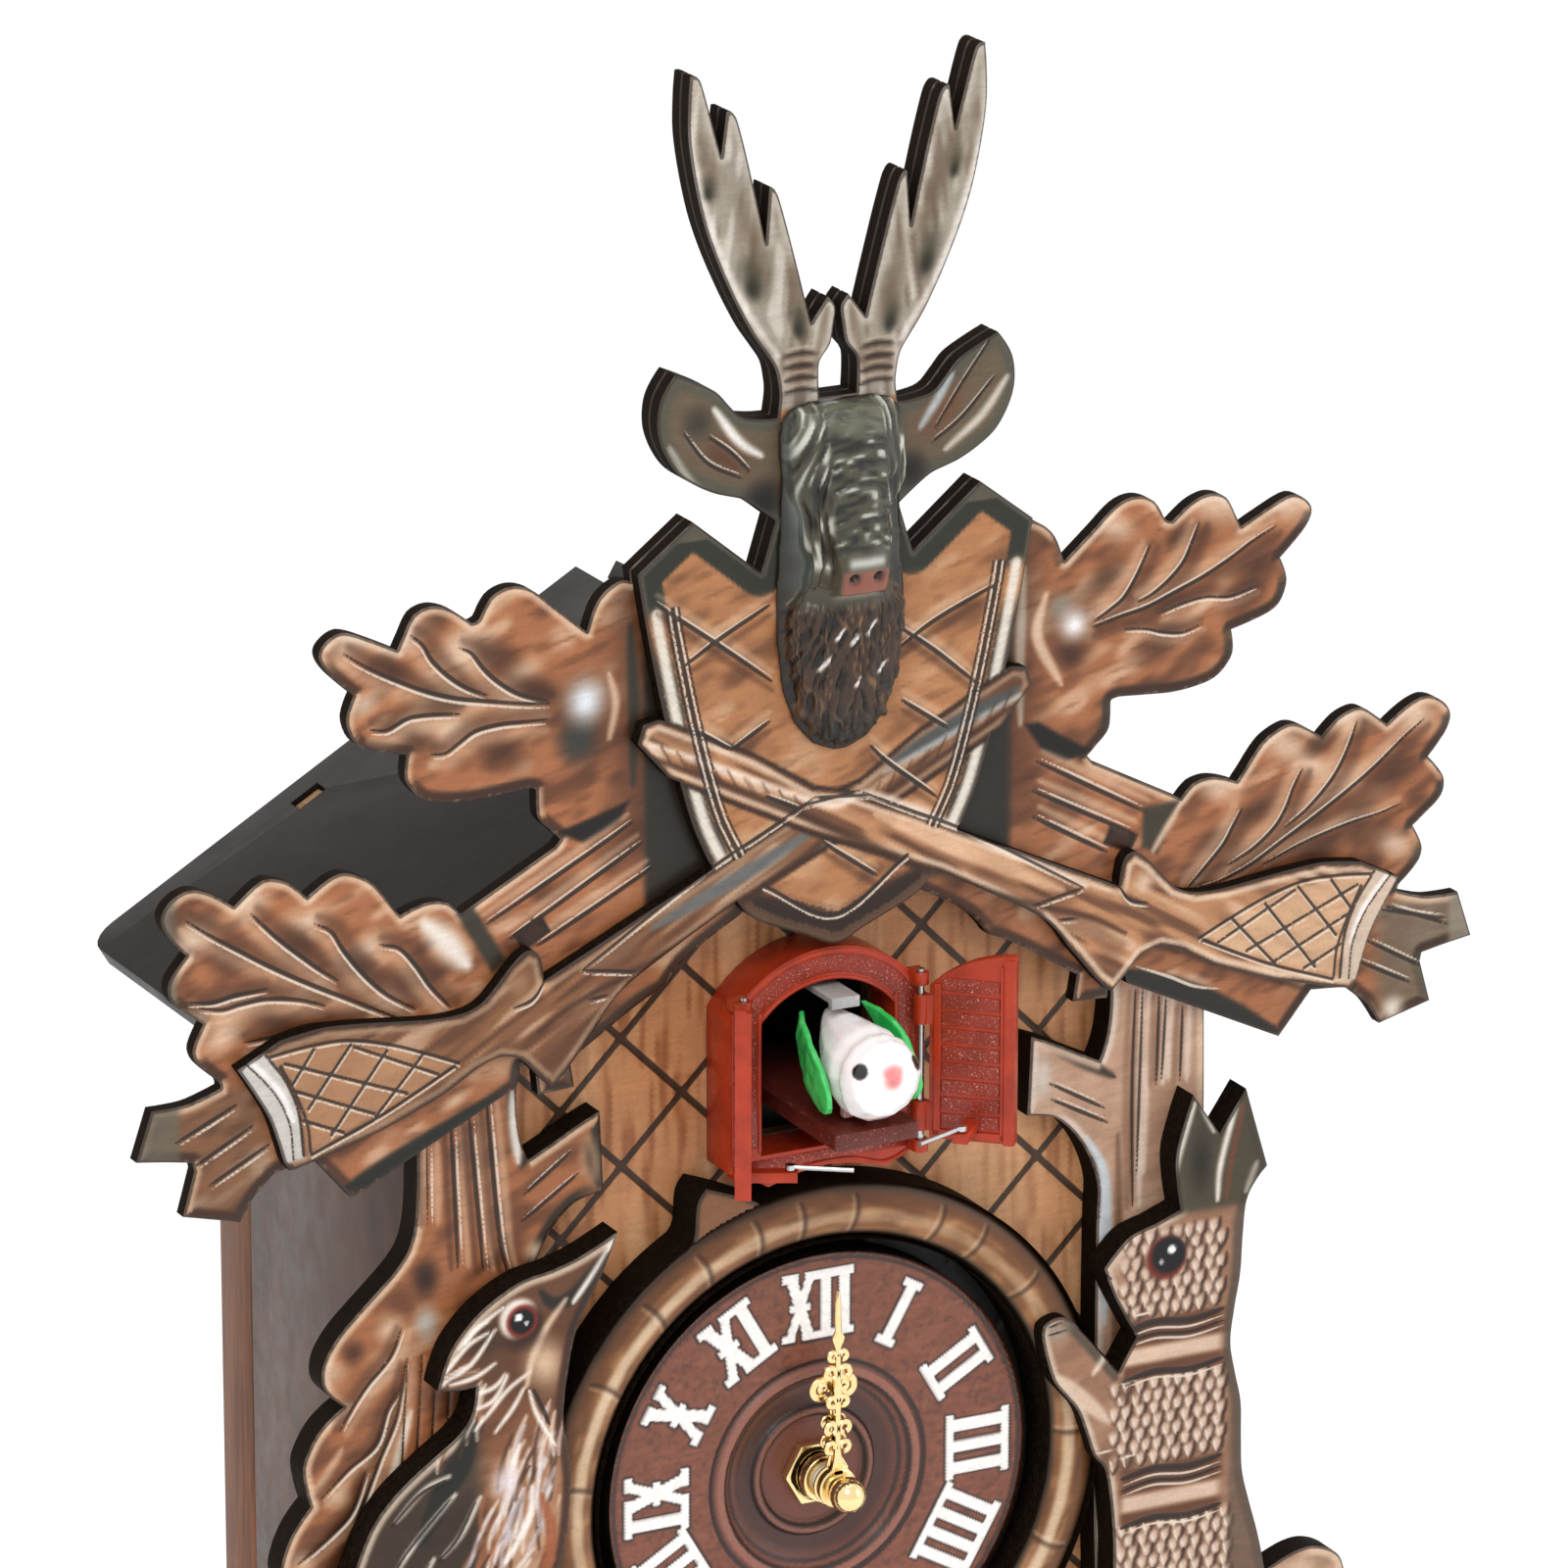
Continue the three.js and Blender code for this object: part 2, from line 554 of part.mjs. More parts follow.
// ---------------------------------------------------------------- dial and hands
function buildDial() {
  const ring = turned([
    [RING_BORE, PANEL_Y - GAP], [RING_BORE, -1.5], [RING_BORE + 2, RING_Y], [RING_R - 2, RING_Y],
    [RING_R, -1.5], [RING_R, PANEL_Y - GAP],
  ], 60);
  const stub = outline([
    [-34, 49.5, 1], [-28.8, 56], [-28.3, 62.4], [-26.4, 65.4, 1], [-20, 62.9], [-14, 60.2, 1], [-16, 52, 1],
  ]);
  addPart('dial_ring', join(ring, board(stub, RING_Y, PANEL_Y - GAP - RING_Y)), 'carvedWood');
  const dial = turned([
    [5.4, PANEL_Y - GAP], [5.4, 3.2], [10.6, 3.2], [12, 2], [13.6, 3.2], [16.4, 3.2],
    [21, -0.4], [23.4, -0.4], [24, 0], [44.2, 0], [44.8, -0.6], [DIAL_R, -0.6], [DIAL_R, PANEL_Y - GAP],
  ], 48);
  addPart('dial', dial, 'dialPlastic');
}

const HOUR_HAND = [
  [0, 27.5, 1], [1, 24.6], [1.6, 22.4], [4.4, 23.4], [5.9, 20.6], [4.6, 17.8], [2.4, 17.2], [1.5, 14],
  [2.6, 10.5], [2.2, 7], [1.8, 4.6, 1], [4.3, 2], [4.4, -2], [0, -4.8, 1],
];
const MINUTE_HAND = [
  [0, 41.5, 1], [0.9, 39], [1, 34], [1.6, 31.5], [1.1, 29.5], [2.5, 27], [3, 23.8], [1.9, 20.6],
  [2.6, 18], [1.4, 15.4], [2.7, 12.6], [2.6, 9.6], [1.6, 7.2], [2, 5, 1], [4, 1.8], [3.9, -2], [0, -4.2, 1],
];
const HANDS = { hourY: -6.6, minuteY: -8.6, t: 0.7 };

function buildHands() {
  const hour = board(outline(closedHalf(HOUR_HAND)), HANDS.hourY, HANDS.t, [circle(0, 0, 2)]);
  addPart('hour_hand', hour, 'brass');
  addPart('minute_hand', board(outline(closedHalf(MINUTE_HAND)), HANDS.minuteY, HANDS.t), 'brass');
  const tip = [[0, -16.2]];
  for (let i = 1; i <= 6; i += 1) {
    const angle = (Math.PI * i) / 7.6;
    tip.push([3.7 * Math.sin(angle), -12.5 - 3.7 * Math.cos(angle)]);
  }
  const back = HANDS.minuteY - GAP;
  addPart('hand_nut', turned([...tip, [2.2, back], [0, back]], 18), 'brass');
  const hex = circle(0, 0, 7, 6);
  addPart('dial_nut', board(hex, 0.4, 2.4, [circle(0, 0, 5.1)]), 'brass');
  const bush = turned([[3.1, -3.4], [4.9, -3.4], [4.9, 10.5], [3.1, 10.5]], 24);
  addPart('centre_bush', bush, 'brass');
}

// ---------------------------------------------------------------- movement
function gearPoints(teeth, module, turn) {
  const pitch = (module * teeth) / 2;
  const step = (2 * Math.PI) / teeth;
  const points = [];
  const flank = [[-0.3, -1.2], [-0.13, 0.75], [0.13, 0.75], [0.3, -1.2]];
  for (let tooth = 0; tooth < teeth; tooth += 1) {
    for (const [along, rise] of flank) {
      const angle = turn + step * (tooth + along);
      const radius = pitch + rise * module;
      points.push(new THREE.Vector2(radius * Math.cos(angle), radius * Math.sin(angle)));
    }
  }
  return points;
}

function gear(teeth, module, turn, z, y0, y1) {
  const points = gearPoints(teeth, module, turn).map((point) => point.add(new THREE.Vector2(0, z)));
  return board(points, y0, y1 - y0);
}

function buildMovement() {
  const { half, front, back, wall } = MOVEMENT;
  const shell = block(-half, half, front, back, -half, half);
  const hollow = block(-half + wall, half - wall, front + wall, back + 1, -half + wall, half - wall);
  addPart('movement_case', cut(shell, hollow, rodY(0, 0, 3.6, front - 1, front + wall + 1)), 'blackPlastic');
  const coverY = back + GAP;
  const holes = [circle(0, 0, 2, 16), circle(0, MOTION_Z, 1.6, 16)];
  const lid = board(rectangle(-half, half, -half, half), coverY, wall, holes);
  addPart('movement_cover', lid, 'blackPlastic');

  // Meshing teeth point at a gap: odd half steps line the trains up at rest.
  const down = -Math.PI / 2;
  const up = Math.PI / 2;
  const pinion = gear(12, 25 / 48, down, 0, 16.8, 19.2);
  addPart('minute_shaft', join(rodY(0, 0, 1.6, HANDS.minuteY + HANDS.t + GAP, back + 1), pinion), 'steel');
  const wheel = gear(36, 25 / 48, up + Math.PI / 36, MOTION_Z, 17, 19);
  const small = gear(10, 0.5, up, MOTION_Z, 12.8, 15.2);
  addPart('motion_wheel', join(rodY(0, MOTION_Z, 1.2, 12.6, 33, 16), wheel, small), 'whitePlastic');
  const hourGear = gear(40, 0.5, down + Math.PI / 40, 0, 13, 15);
  const pipe = rodY(0, 0, 3, HANDS.hourY + HANDS.t + GAP, 16);
  const bore = rodY(0, 0, 1.6 + RUNNING, HANDS.hourY, 17);
  addPart('hour_wheel', cut(join(hourGear, pipe), bore), 'whitePlastic');
  const knobY = coverY + wall + 0.6;
  addPart('set_knob', cut(rodY(0, MOTION_Z, 6.5, knobY, knobY + 4), rodY(0, MOTION_Z, 1.5, knobY - 1, 34)), 'greyPlastic');
  const coil = turned([[1.2, 0], [4.2, 0], [4.2, 14], [1.2, 14]], 24);
  coil.rotateZ(Math.PI / 2);
  coil.translate(24, 20, 17);
  addPart('drive_coil', coil, 'copper');
}

function buildPower() {
  const low = BASE_Z + FLOOR_T + GAP;
  const tray = block(-31, 31, 46, 81, low, low + 14);
  const bay = block(-29.5, 29.5, 47.5, 79.5, low + 1.5, low + 20);
  addPart('battery_tray', cut(tray, bay), 'blackPlastic');
  const centres = { battery_front: 55.6, battery_rear: 71.4 };
  for (const [name, y] of Object.entries(centres)) {
    const turn = name === 'battery_front' ? 1 : -1;
    const cell = join(
      rodAlongX(y, low + 9, 7.1, -24.5, 24.5, 24),
      rodAlongX(y, low + 9, 2.7, 24, 26, 16),
    );
    addPart(name, turn > 0 ? cell : mirrored(cell), 'batteryCase');
  }
  addPart('control_board', block(-30, 30, 30, 42, low + 1, low + 2.6), 'circuitBoard');
  buildSpeaker();
}

function rodAlongX(y, z, radius, x0, x1, count) {
  const rod = new THREE.CylinderGeometry(radius, radius, x1 - x0, count);
  rod.rotateZ(Math.PI / 2);
  rod.translate((x0 + x1) / 2, y, z);
  return rod;
}

function buildSpeaker() {
  const cone = turned([
    [0, 0], [9, 0], [9, 9], [24, 13], [26.5, 13], [26.5, 14.6], [24, 14.6], [9, 10.8], [0, 12.6],
  ], 28);
  cone.translate(-52, 70, 24);
  addPart('speaker', cone, 'blackPlastic');
}

// ---------------------------------------------------------------- bird module
function buildBirdFrame() {
  const outer = archPoints(FRAME.half, FRAME.bottom + 3.4, FRAME.archR, FRAME.archZ, 16);
  const inner = archPoints(DOORWAY.half, DOORWAY.sill, DOORWAY.springR, DOORWAY.springZ);
  let frame = board(outer, FRAME.y, PANEL_Y - GAP - FRAME.y, [inner]);
  const apron = vectors([-20, 68], [-13, 63.6], [-6, 65.6], [0, 66.2], [6, 65.6], [13, 63.6], [20, 68]);
  frame = join(frame, board(apron, FRAME.y, 3));
  const bores = [];
  for (const side of [-1, 1]) {
    for (const low of [PIN.low + 0.3, PIN.high - 3.2]) {
      const knuckle = rodZ(side * PIN.x, PIN.y, 1.6, low, low + 2.5);
      const neck = block(side * PIN.x - 1.6, side * PIN.x + 1.6, PIN.y, FRAME.y + 2, low, low + 2.5);
      frame = join(frame, knuckle, neck);
    }
    bores.push(rodZ(side * PIN.x, PIN.y, PIN.r + RUNNING, PIN.low - 5, PIN.high + 5));
  }
  addPart('bird_frame', cut(frame, ...bores), 'doorPlastic');
  for (const [name, side] of [['left', -1], ['right', 1]]) {
    addPart(`door_pin_${name}`, rodZ(side * PIN.x, PIN.y, PIN.r, PIN.low, PIN.high), 'steel');
  }
}

// One door, drawn shut for the right-hand side: leaf, rims, knuckles, link arm.
function closedDoor(armLow) {
  const hingeX = PIN.x - 1.9;
  const rise = DOOR.tipTop - DOOR.hingeTop;
  const radius = (hingeX ** 2 + rise ** 2) / (2 * rise);
  const centreZ = DOOR.tipTop - radius;
  const edge = vectors([GAP, DOOR.sill], [hingeX, DOOR.sill]);
  for (let i = 0; i <= 6; i += 1) {
    const x = hingeX - ((hingeX - GAP) * i) / 6;
    edge.push(new THREE.Vector2(x, centreZ + Math.sqrt(radius ** 2 - x ** 2)));
  }
  let door = join(board(edge, DOOR.y, DOOR.t), block(GAP, 2.4, DOOR.y, DOOR.y + DOOR.rimT, DOOR.sill, DOOR.tipTop - 0.6));
  for (const z of [71, 93]) {
    const web = block(hingeX - 1, PIN.x, PIN.y - 0.8, PIN.y + 0.6, z, z + 6);
    door = join(door, web, rodZ(PIN.x, PIN.y, 1.5, z, z + 6));
  }
  const arm = block(7.4, 10.4, DOOR.y + 1, 5, armLow, armLow + 2);
  return cut(join(door, arm), rodZ(PIN.x, PIN.y, PIN.r + RUNNING, 60, 110));
}

const LINKS = {
  right: { arm: 72.4, z: 75.3 },
  left: { arm: 70.6, z: 73.4 },
  length: 12.4,
  openTurn: THREE.MathUtils.degToRad(200.8),
};

function hingeTurned(geometry, angle) {
  const moved = geometry.clone();
  moved.translate(-PIN.x, -PIN.y, 0);
  moved.rotateZ(angle);
  moved.translate(PIN.x, PIN.y, 0);
  return moved;
}

function linkWire(z) {
  const wire = rodAlongX(0, z, 0.5, 0, LINKS.length, 10);
  const eye = rodZ(0, 0, 1, z - 0.5, z + 0.5, 12);
  return join(wire, eye);
}

// Where the link's pivot on an arm, at (8.9, 3.6) with the door shut, is when open.
function linkPivot(angle) {
  const x = 8.9 - PIN.x;
  const y = 3.6 - PIN.y;
  const cosine = Math.cos(angle);
  const sine = Math.sin(angle);
  return [PIN.x + x * cosine - y * sine, PIN.y + x * sine + y * cosine];
}

function buildDoors() {
  const rightDoor = hingeTurned(closedDoor(LINKS.right.arm), DOOR_OPEN.right);
  addPart('door_right', rightDoor, 'doorPlastic');
  const leftDoor = hingeTurned(closedDoor(LINKS.left.arm), DOOR_OPEN.left);
  addPart('door_left', mirrored(leftDoor), 'doorPlastic');
  for (const side of ['right', 'left']) {
    const [x, y] = linkPivot(DOOR_OPEN[side]);
    const wire = linkWire(LINKS[side].z);
    wire.rotateZ(linkAngle(side));
    wire.translate(x, y, 0);
    addPart(`door_link_${side}`, side === 'right' ? wire : mirrored(wire), 'steel');
  }
}

// At rest each link points from its arm to just under the platform's front corner.
function linkAngle(side) {
  const [x, y] = linkPivot(DOOR_OPEN[side]);
  return Math.atan2(PLATFORM.front + 0.7 - y, 9.6 - x);
}

function buildHousing() {
  const { half, low, high, front, back, wall } = HOUSING;
  const shell = block(-half, half, front, back, low, high);
  const hollow = block(-half + wall, half - wall, front - 1, back - wall, low + wall, high - wall);
  const rail = block(-3.5, 3.5, 18, back - 1, low + 1, PLATFORM.top - PLATFORM.t - GAP);
  addPart('bird_housing', join(cut(shell, hollow), rail), 'blackPlastic');
  addPart('bird_motor', rodY(-30, 88, 8, 30, 52), 'steel');
}

function ellipseRing(y, half, centreZ, rise, count = 14) {
  const ring = [];
  for (let i = 0; i < count; i += 1) {
    const angle = (2 * Math.PI * i) / count;
    ring.push(new THREE.Vector3(half * Math.cos(angle), y, centreZ + rise * Math.sin(angle)));
  }
  return ring;
}

function buildBird() {
  const { half, top, t, front, length } = PLATFORM;
  addPart('bird_platform', block(-half, half, front, front + length, top - t, top), 'platformPlastic');
  const stations = [
    [-3.6, 1.2, 97.6, 1.2], [-6, 3, 96.4, 3], [-10, 5.4, 94, 5.6], [-15, 7.6, 91.6, 8], [-20, 8.6, 90.8, 9.2],
    [-24, 8.8, 91, 9.2], [-28, 7.4, 91.8, 7.8], [-31, 4.4, 92.4, 4.6], [-32.6, 1.2, 92.6, 1.2],
  ];
  const body = loft(stations.map(([y, w, z, h]) => ellipseRing(y, w, z, h)));
  const feet = [block(-4, -2, -18, -16, top + 2 * GAP, 86), block(2, 4, -18, -16, top + 2 * GAP, 86)];
  addPart('bird_body', join(body, ...feet), 'birdPlastic');
  const wing = new THREE.Shape(outline([[-5, 99.6, 1], [-13, 97.6], [-20, 92.6], [-23.4, 87.6], [-22, 84.2],
    [-18.4, 83.6], [-13.5, 87.6], [-8.5, 93.6]]));
  const blade = new THREE.ExtrudeGeometry(wing, { depth: 1.2, bevelEnabled: false });
  blade.applyMatrix4(new THREE.Matrix4().makeBasis(
    new THREE.Vector3(0, 1, 0),
    new THREE.Vector3(0, 0, 1),
    new THREE.Vector3(1, 0, 0),
  ));
  blade.translate(9.2, 0, 0);
  addPart('wing_right', blade, 'wingPlastic');
  addPart('wing_left', mirrored(blade), 'wingPlastic');
  addPart('tail_lever', join(block(-3, 3, -11, -9.4, 100.8, 103), block(-3, 3, -11, 4, 101.8, 103)), 'greyPlastic');
}

// ---------------------------------------------------------------- pendulum
const LEAF_BOB = [
  [0, -176, 1], [5, -171], [7, -165.5], [5.4, -162, 1], [13, -164], [18, -159], [16, -152.4, 1],
  [22, -149], [22.5, -142], [17, -138, 1], [18, -131], [13, -126], [8, -126, 1], [6, -119], [0, -116, 1],
];

function buildPendulum() {
  const { y, z, length } = PENDULUM;
  const bridge = block(-6, 6, y - 3.4, y + 3.4, z + 2.8, -MOVEMENT.half - GAP);
  const cheeks = [
    block(-3, 3, y - 3.4, y - 2.2, z - 2.4, z + 3),
    block(-3, 3, y + 2.2, y + 3.4, z - 2.4, z + 3),
  ];
  addPart('pendulum_bracket', join(bridge, ...cheeks, rodY(0, z, 1, y - 3.4, y + 3.4, 16)), 'blackPlastic');
  const eye = cut(rodY(0, z, 2.4, y - 0.9, y + 0.9, 20), rodY(0, z, 1 + RUNNING, y - 2, y + 2, 20));
  const rod = rodZ(0, y, 0.9, z - length, z - 1.9, 10);
  addPart('pendulum_rod', join(eye, rod), 'brass');
  addPart('pendulum_bob', board(outline(closedHalf(LEAF_BOB)), y - 0.9 - GAP - LAYER, LAYER), 'carvedWood');
}

buildCase();
buildRoof();
buildBack();
buildCrest();
buildTrunks();
buildFigures();
buildBottomCarving();
buildDial();
buildHands();
buildMovement();
buildPower();
buildBirdFrame();
buildDoors();
buildHousing();
buildBird();
buildPendulum();

export default clock;
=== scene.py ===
"""Looks for the wall cuckoo clock: carved fretwork boards, stag head, dial, bird doors and case."""
import math
import bpy
import numpy as np
from mathutils import Matrix, Vector
from mathutils.geometry import delaunay_2d_cdt
import json


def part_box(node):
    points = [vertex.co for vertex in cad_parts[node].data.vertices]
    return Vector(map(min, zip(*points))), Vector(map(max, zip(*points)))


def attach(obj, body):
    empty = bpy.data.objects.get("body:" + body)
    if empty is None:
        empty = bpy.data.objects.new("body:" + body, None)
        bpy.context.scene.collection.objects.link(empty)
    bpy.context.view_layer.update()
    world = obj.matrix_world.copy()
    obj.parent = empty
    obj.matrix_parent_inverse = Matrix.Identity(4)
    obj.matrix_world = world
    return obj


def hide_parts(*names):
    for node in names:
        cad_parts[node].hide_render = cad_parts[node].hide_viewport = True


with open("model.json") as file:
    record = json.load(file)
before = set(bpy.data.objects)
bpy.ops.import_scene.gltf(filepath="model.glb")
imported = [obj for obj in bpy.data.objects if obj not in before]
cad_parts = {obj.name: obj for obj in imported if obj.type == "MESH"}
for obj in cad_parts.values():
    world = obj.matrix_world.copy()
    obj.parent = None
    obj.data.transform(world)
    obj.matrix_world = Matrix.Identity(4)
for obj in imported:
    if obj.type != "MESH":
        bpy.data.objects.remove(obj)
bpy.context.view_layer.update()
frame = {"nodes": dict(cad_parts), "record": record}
NODES = frame["nodes"]
SHIFT = np.array([0.0, 98.0, 122.0])          # dial frame (mm) = row frame (mm) + SHIFT
BODY = {n: b for b, ns in frame["record"]["behaviour"]["bodies"].items() for n in ns}
GRID = 0.6


# ------------------------------------------------------------------ numbers and curves
def row(points):
    """Dial-frame millimetres to row-frame metres."""
    return (np.asarray(points, float) - SHIFT) / 1000.0


def pts(text):
    return np.array([[float(v) for v in p.split(",")] for p in text.split()], float)


def curve(points, step=1.0):
    """Catmull-Rom through the points, resampled about every step mm."""
    p = np.asarray(points, float)
    if len(p) < 3:
        n = max(2, int(np.linalg.norm(p[-1] - p[0]) / (2 * step)) + 1)
        t = np.linspace(0, 1, n)[:, None]
        return p[0] + (p[-1] - p[0]) * t
    e = np.vstack([2 * p[0] - p[1], p, 2 * p[-1] - p[-2]])
    out = []
    for i in range(1, len(e) - 2):
        a, b, c, d = e[i - 1], e[i], e[i + 1], e[i + 2]
        n = max(2, int(np.linalg.norm(c - b) / step))
        t = np.arange(n)[:, None] / n
        out.append(0.5 * (2 * b + (c - a) * t + (2 * a - 5 * b + 4 * c - d) * t**2 + (3 * b - a - 3 * c + d) * t**3))
    out.append(p[-1][None])
    return np.vstack(out)


def smooth(a, b, x):
    t = np.clip((x - a) / (b - a), 0, 1)
    return t * t * (3 - 2 * t)


def seg_distance(P, A, B):
    """Distance from points P to each segment A-B, and where along it (0..1)."""
    d = B - A
    L = np.maximum((d**2).sum(1), 1e-12)
    t = np.clip(((P[:, None, :] - A) * d).sum(2) / L, 0, 1)
    q = A + t[..., None] * d
    return np.sqrt(((P[:, None, :] - q) ** 2).sum(2)), t


def line_field(P, line, far=3.0):
    """Distance to a polyline and the fraction along it, for points near it (others get far)."""
    line = np.asarray(line, float)
    d = np.full(len(P), far)
    s = np.zeros(len(P))
    lo, hi = line.min(0) - far, line.max(0) + far
    near = np.where(((P > lo) & (P < hi)).all(1))[0]
    if len(near) == 0:
        return d, s
    seg = np.linalg.norm(np.diff(line, axis=0), axis=1)
    start = np.concatenate([[0], np.cumsum(seg)])[:-1]
    total = max(seg.sum(), 1e-9)
    for chunk in np.array_split(near, max(1, len(near) * len(seg) // 2000000 + 1)):
        D, t = seg_distance(P[chunk], line[:-1], line[1:])
        k = D.argmin(1)
        r = np.arange(len(chunk))
        d[chunk] = np.minimum(D[r, k], far)
        s[chunk] = (start[k] + t[r, k] * seg[k]) / total
    return d, s


def inside(P, poly):
    """Even-odd test of points in a polygon."""
    poly = np.asarray(poly, float)
    order = np.argsort(P[:, 1], kind="stable")
    zs, xs = P[order, 1], P[order, 0]
    hit = np.zeros(len(P), bool)
    for (x0, z0), (x1, z1) in zip(poly, np.roll(poly, -1, 0)):
        if z0 == z1:
            continue
        i, j = np.searchsorted(zs, (min(z0, z1), max(z0, z1)), "right")
        hit[i:j] ^= xs[i:j] < x0 + (zs[i:j] - z0) * (x1 - x0) / (z1 - z0)
    out = np.zeros(len(P), bool)
    out[order] = hit
    return out


def near_line(P, line, reach):
    """Indices of the points within reach of a polyline, their distance and fraction along it."""
    line = np.asarray(line, float)
    near = np.where(((P > line.min(0) - reach) & (P < line.max(0) + reach)).all(1))[0]
    if len(near) == 0:
        return near, np.zeros(0), np.zeros(0)
    d, s = line_field(P[near], line, reach)
    return near, d, s


def area_field(P, poly, far=4.0):
    """Signed distance to a polygon, positive inside."""
    poly = np.asarray(poly, float)
    out = np.full(len(P), -far)
    near = np.where(((P > poly.min(0) - far) & (P < poly.max(0) + far)).all(1))[0]
    q = P[near]
    d, _ = line_field(q, np.vstack([poly, poly[:1]]), far)
    out[near] = np.where(inside(q, poly), d, -d)
    return out


def offset(line, amount):
    """Moves a polyline sideways (positive is to its left)."""
    line = np.asarray(line, float)
    t = np.gradient(line, axis=0)
    t /= np.maximum(np.linalg.norm(t, axis=1, keepdims=True), 1e-9)
    return line + np.stack([-t[:, 1], t[:, 0]], 1) * amount


def mirror(points):
    q = np.array(points, float)
    q[:, 0] *= -1
    return q


# ------------------------------------------------------------------ meshes
def mesh_object(name, verts, faces, material=None, shade=True, attributes=None):
    me = bpy.data.meshes.new(name)
    me.from_pydata([tuple(v) for v in row(verts)], [], [tuple(int(i) for i in f) for f in faces])
    me.validate()
    for key, value in (attributes or {}).items():
        value = np.asarray(value, np.float32)
        if value.ndim == 1:
            me.attributes.new(key, "FLOAT", "POINT").data.foreach_set("value", value)
        else:
            rgba = np.ones((len(value), 4), np.float32)
            rgba[:, :3] = value
            me.attributes.new(key, "FLOAT_COLOR", "POINT").data.foreach_set("color", rgba.ravel())
    if shade:
        me.shade_smooth()
    if material is not None:
        me.materials.append(material)
    ob = bpy.data.objects.new(name, me)
    bpy.context.scene.collection.objects.link(ob)
    return ob


def stands_for(ob, *nodes):
    """The piece replaces these CAD nodes, which it hides, and rides with their body."""
    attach(ob, BODY[nodes[0]])
    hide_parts(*nodes)
    return ob


def goes_with(ob, node):
    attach(ob, BODY[node])
    return ob


def front_loops(node):
    """Boundary loops of a board's front face, in dial-frame mm."""
    me = NODES[node].data
    co = np.array([v.co[:] for v in me.vertices]) * 1000 + SHIFT
    front = co[:, 1].min()
    key = {}
    edges = {}
    for poly in me.polygons:
        ids = [key.setdefault((round(co[v, 0], 3), round(co[v, 2], 3)), (round(co[v, 0], 3), round(co[v, 2], 3)))
               for v in poly.vertices]
        if all(abs(co[v, 1] - front) < 0.02 for v in poly.vertices):
            for a, b in zip(ids, ids[1:] + ids[:1]):
                if (b, a) in edges:
                    del edges[(b, a)]
                else:
                    edges[(a, b)] = True
    nxt = {}
    for a, b in edges:
        nxt.setdefault(a, []).append(b)
    loops = []
    while nxt:
        a = next(iter(nxt))
        loop = [a]
        while True:
            b = nxt[loop[-1]].pop()
            if not nxt[loop[-1]]:
                del nxt[loop[-1]]
            if b == a:
                break
            loop.append(b)
        loops.append(np.array(loop))
    return loops, front


def refine(loop, corner=48.0, step=0.9):
    """Rounds a faceted loop between its corners."""
    n = len(loop)
    v = np.roll(loop, -1, 0) - loop
    turn = []
    for i in range(n):
        a, b = v[i - 1], v[i]
        turn.append(abs(math.degrees(math.atan2(a[0] * b[1] - a[1] * b[0], a @ b))))
    length = np.linalg.norm(v, axis=1)
    hard = [i for i in range(n) if turn[i] > corner or (turn[i] > 14 and max(length[i], length[i - 1]) > 9)]
    if not hard:
        closed = np.vstack([loop, loop[:3]])
        c = curve(closed, step)
        k = np.argmin(np.linalg.norm(c[: len(c) // 2] - loop[1], axis=1))
        m = len(c) // 2 + np.argmin(np.linalg.norm(c[len(c) // 2:] - loop[1], axis=1))
        return c[k:m]
    out = []
    for a, b in zip(hard, hard[1:] + [hard[0] + n]):
        stretch = np.array([loop[i % n] for i in range(a, b + 1)])
        out.append(curve(stretch, step)[:-1] if len(stretch) > 2 else curve(stretch, step)[:-1])
    return np.vstack(out)


def fill_plain(loops):
    """Coarse triangulation of the same area, with no points inside."""
    edge_pts = np.vstack(loops)
    edges, k = [], 0
    for lp in loops:
        edges += [(k + i, k + (i + 1) % len(lp)) for i in range(len(lp))]
        k += len(lp)
    co, _, tri, _, _, _ = delaunay_2d_cdt([Vector(p) for p in edge_pts], edges, [], 0, 1e-7)
    V, T = np.array([c[:] for c in co]), np.array([t for t in tri if len(t) == 3], int)
    c = V[T].mean(1)
    ok = inside(c, loops[0])
    for hole in loops[1:]:
        ok &= ~inside(c, hole)
    T = T[ok]
    a, b = V[T[:, 1]] - V[T[:, 0]], V[T[:, 2]] - V[T[:, 0]]
    flip = (a[:, 0] * b[:, 1] - a[:, 1] * b[:, 0]) < 0
    T[flip] = T[flip][:, ::-1]
    return V, T


def thin_out(points, cell):
    """Keeps the first point of each small cell."""
    key = np.floor(points / cell).astype(np.int64)
    _, first = np.unique(key[:, 0] * 1000003 + key[:, 1], return_index=True)
    return points[np.sort(first)]


def stroke_points(lines):
    """Mesh points that follow the drawn lines, so that the lines come out crisp."""
    out = []
    for c, width in lines:
        for amount in (0.0, -width / 2 - 0.16, width / 2 + 0.16):
            out.append(offset(c, amount))
    return np.vstack(out) if out else np.zeros((0, 2))


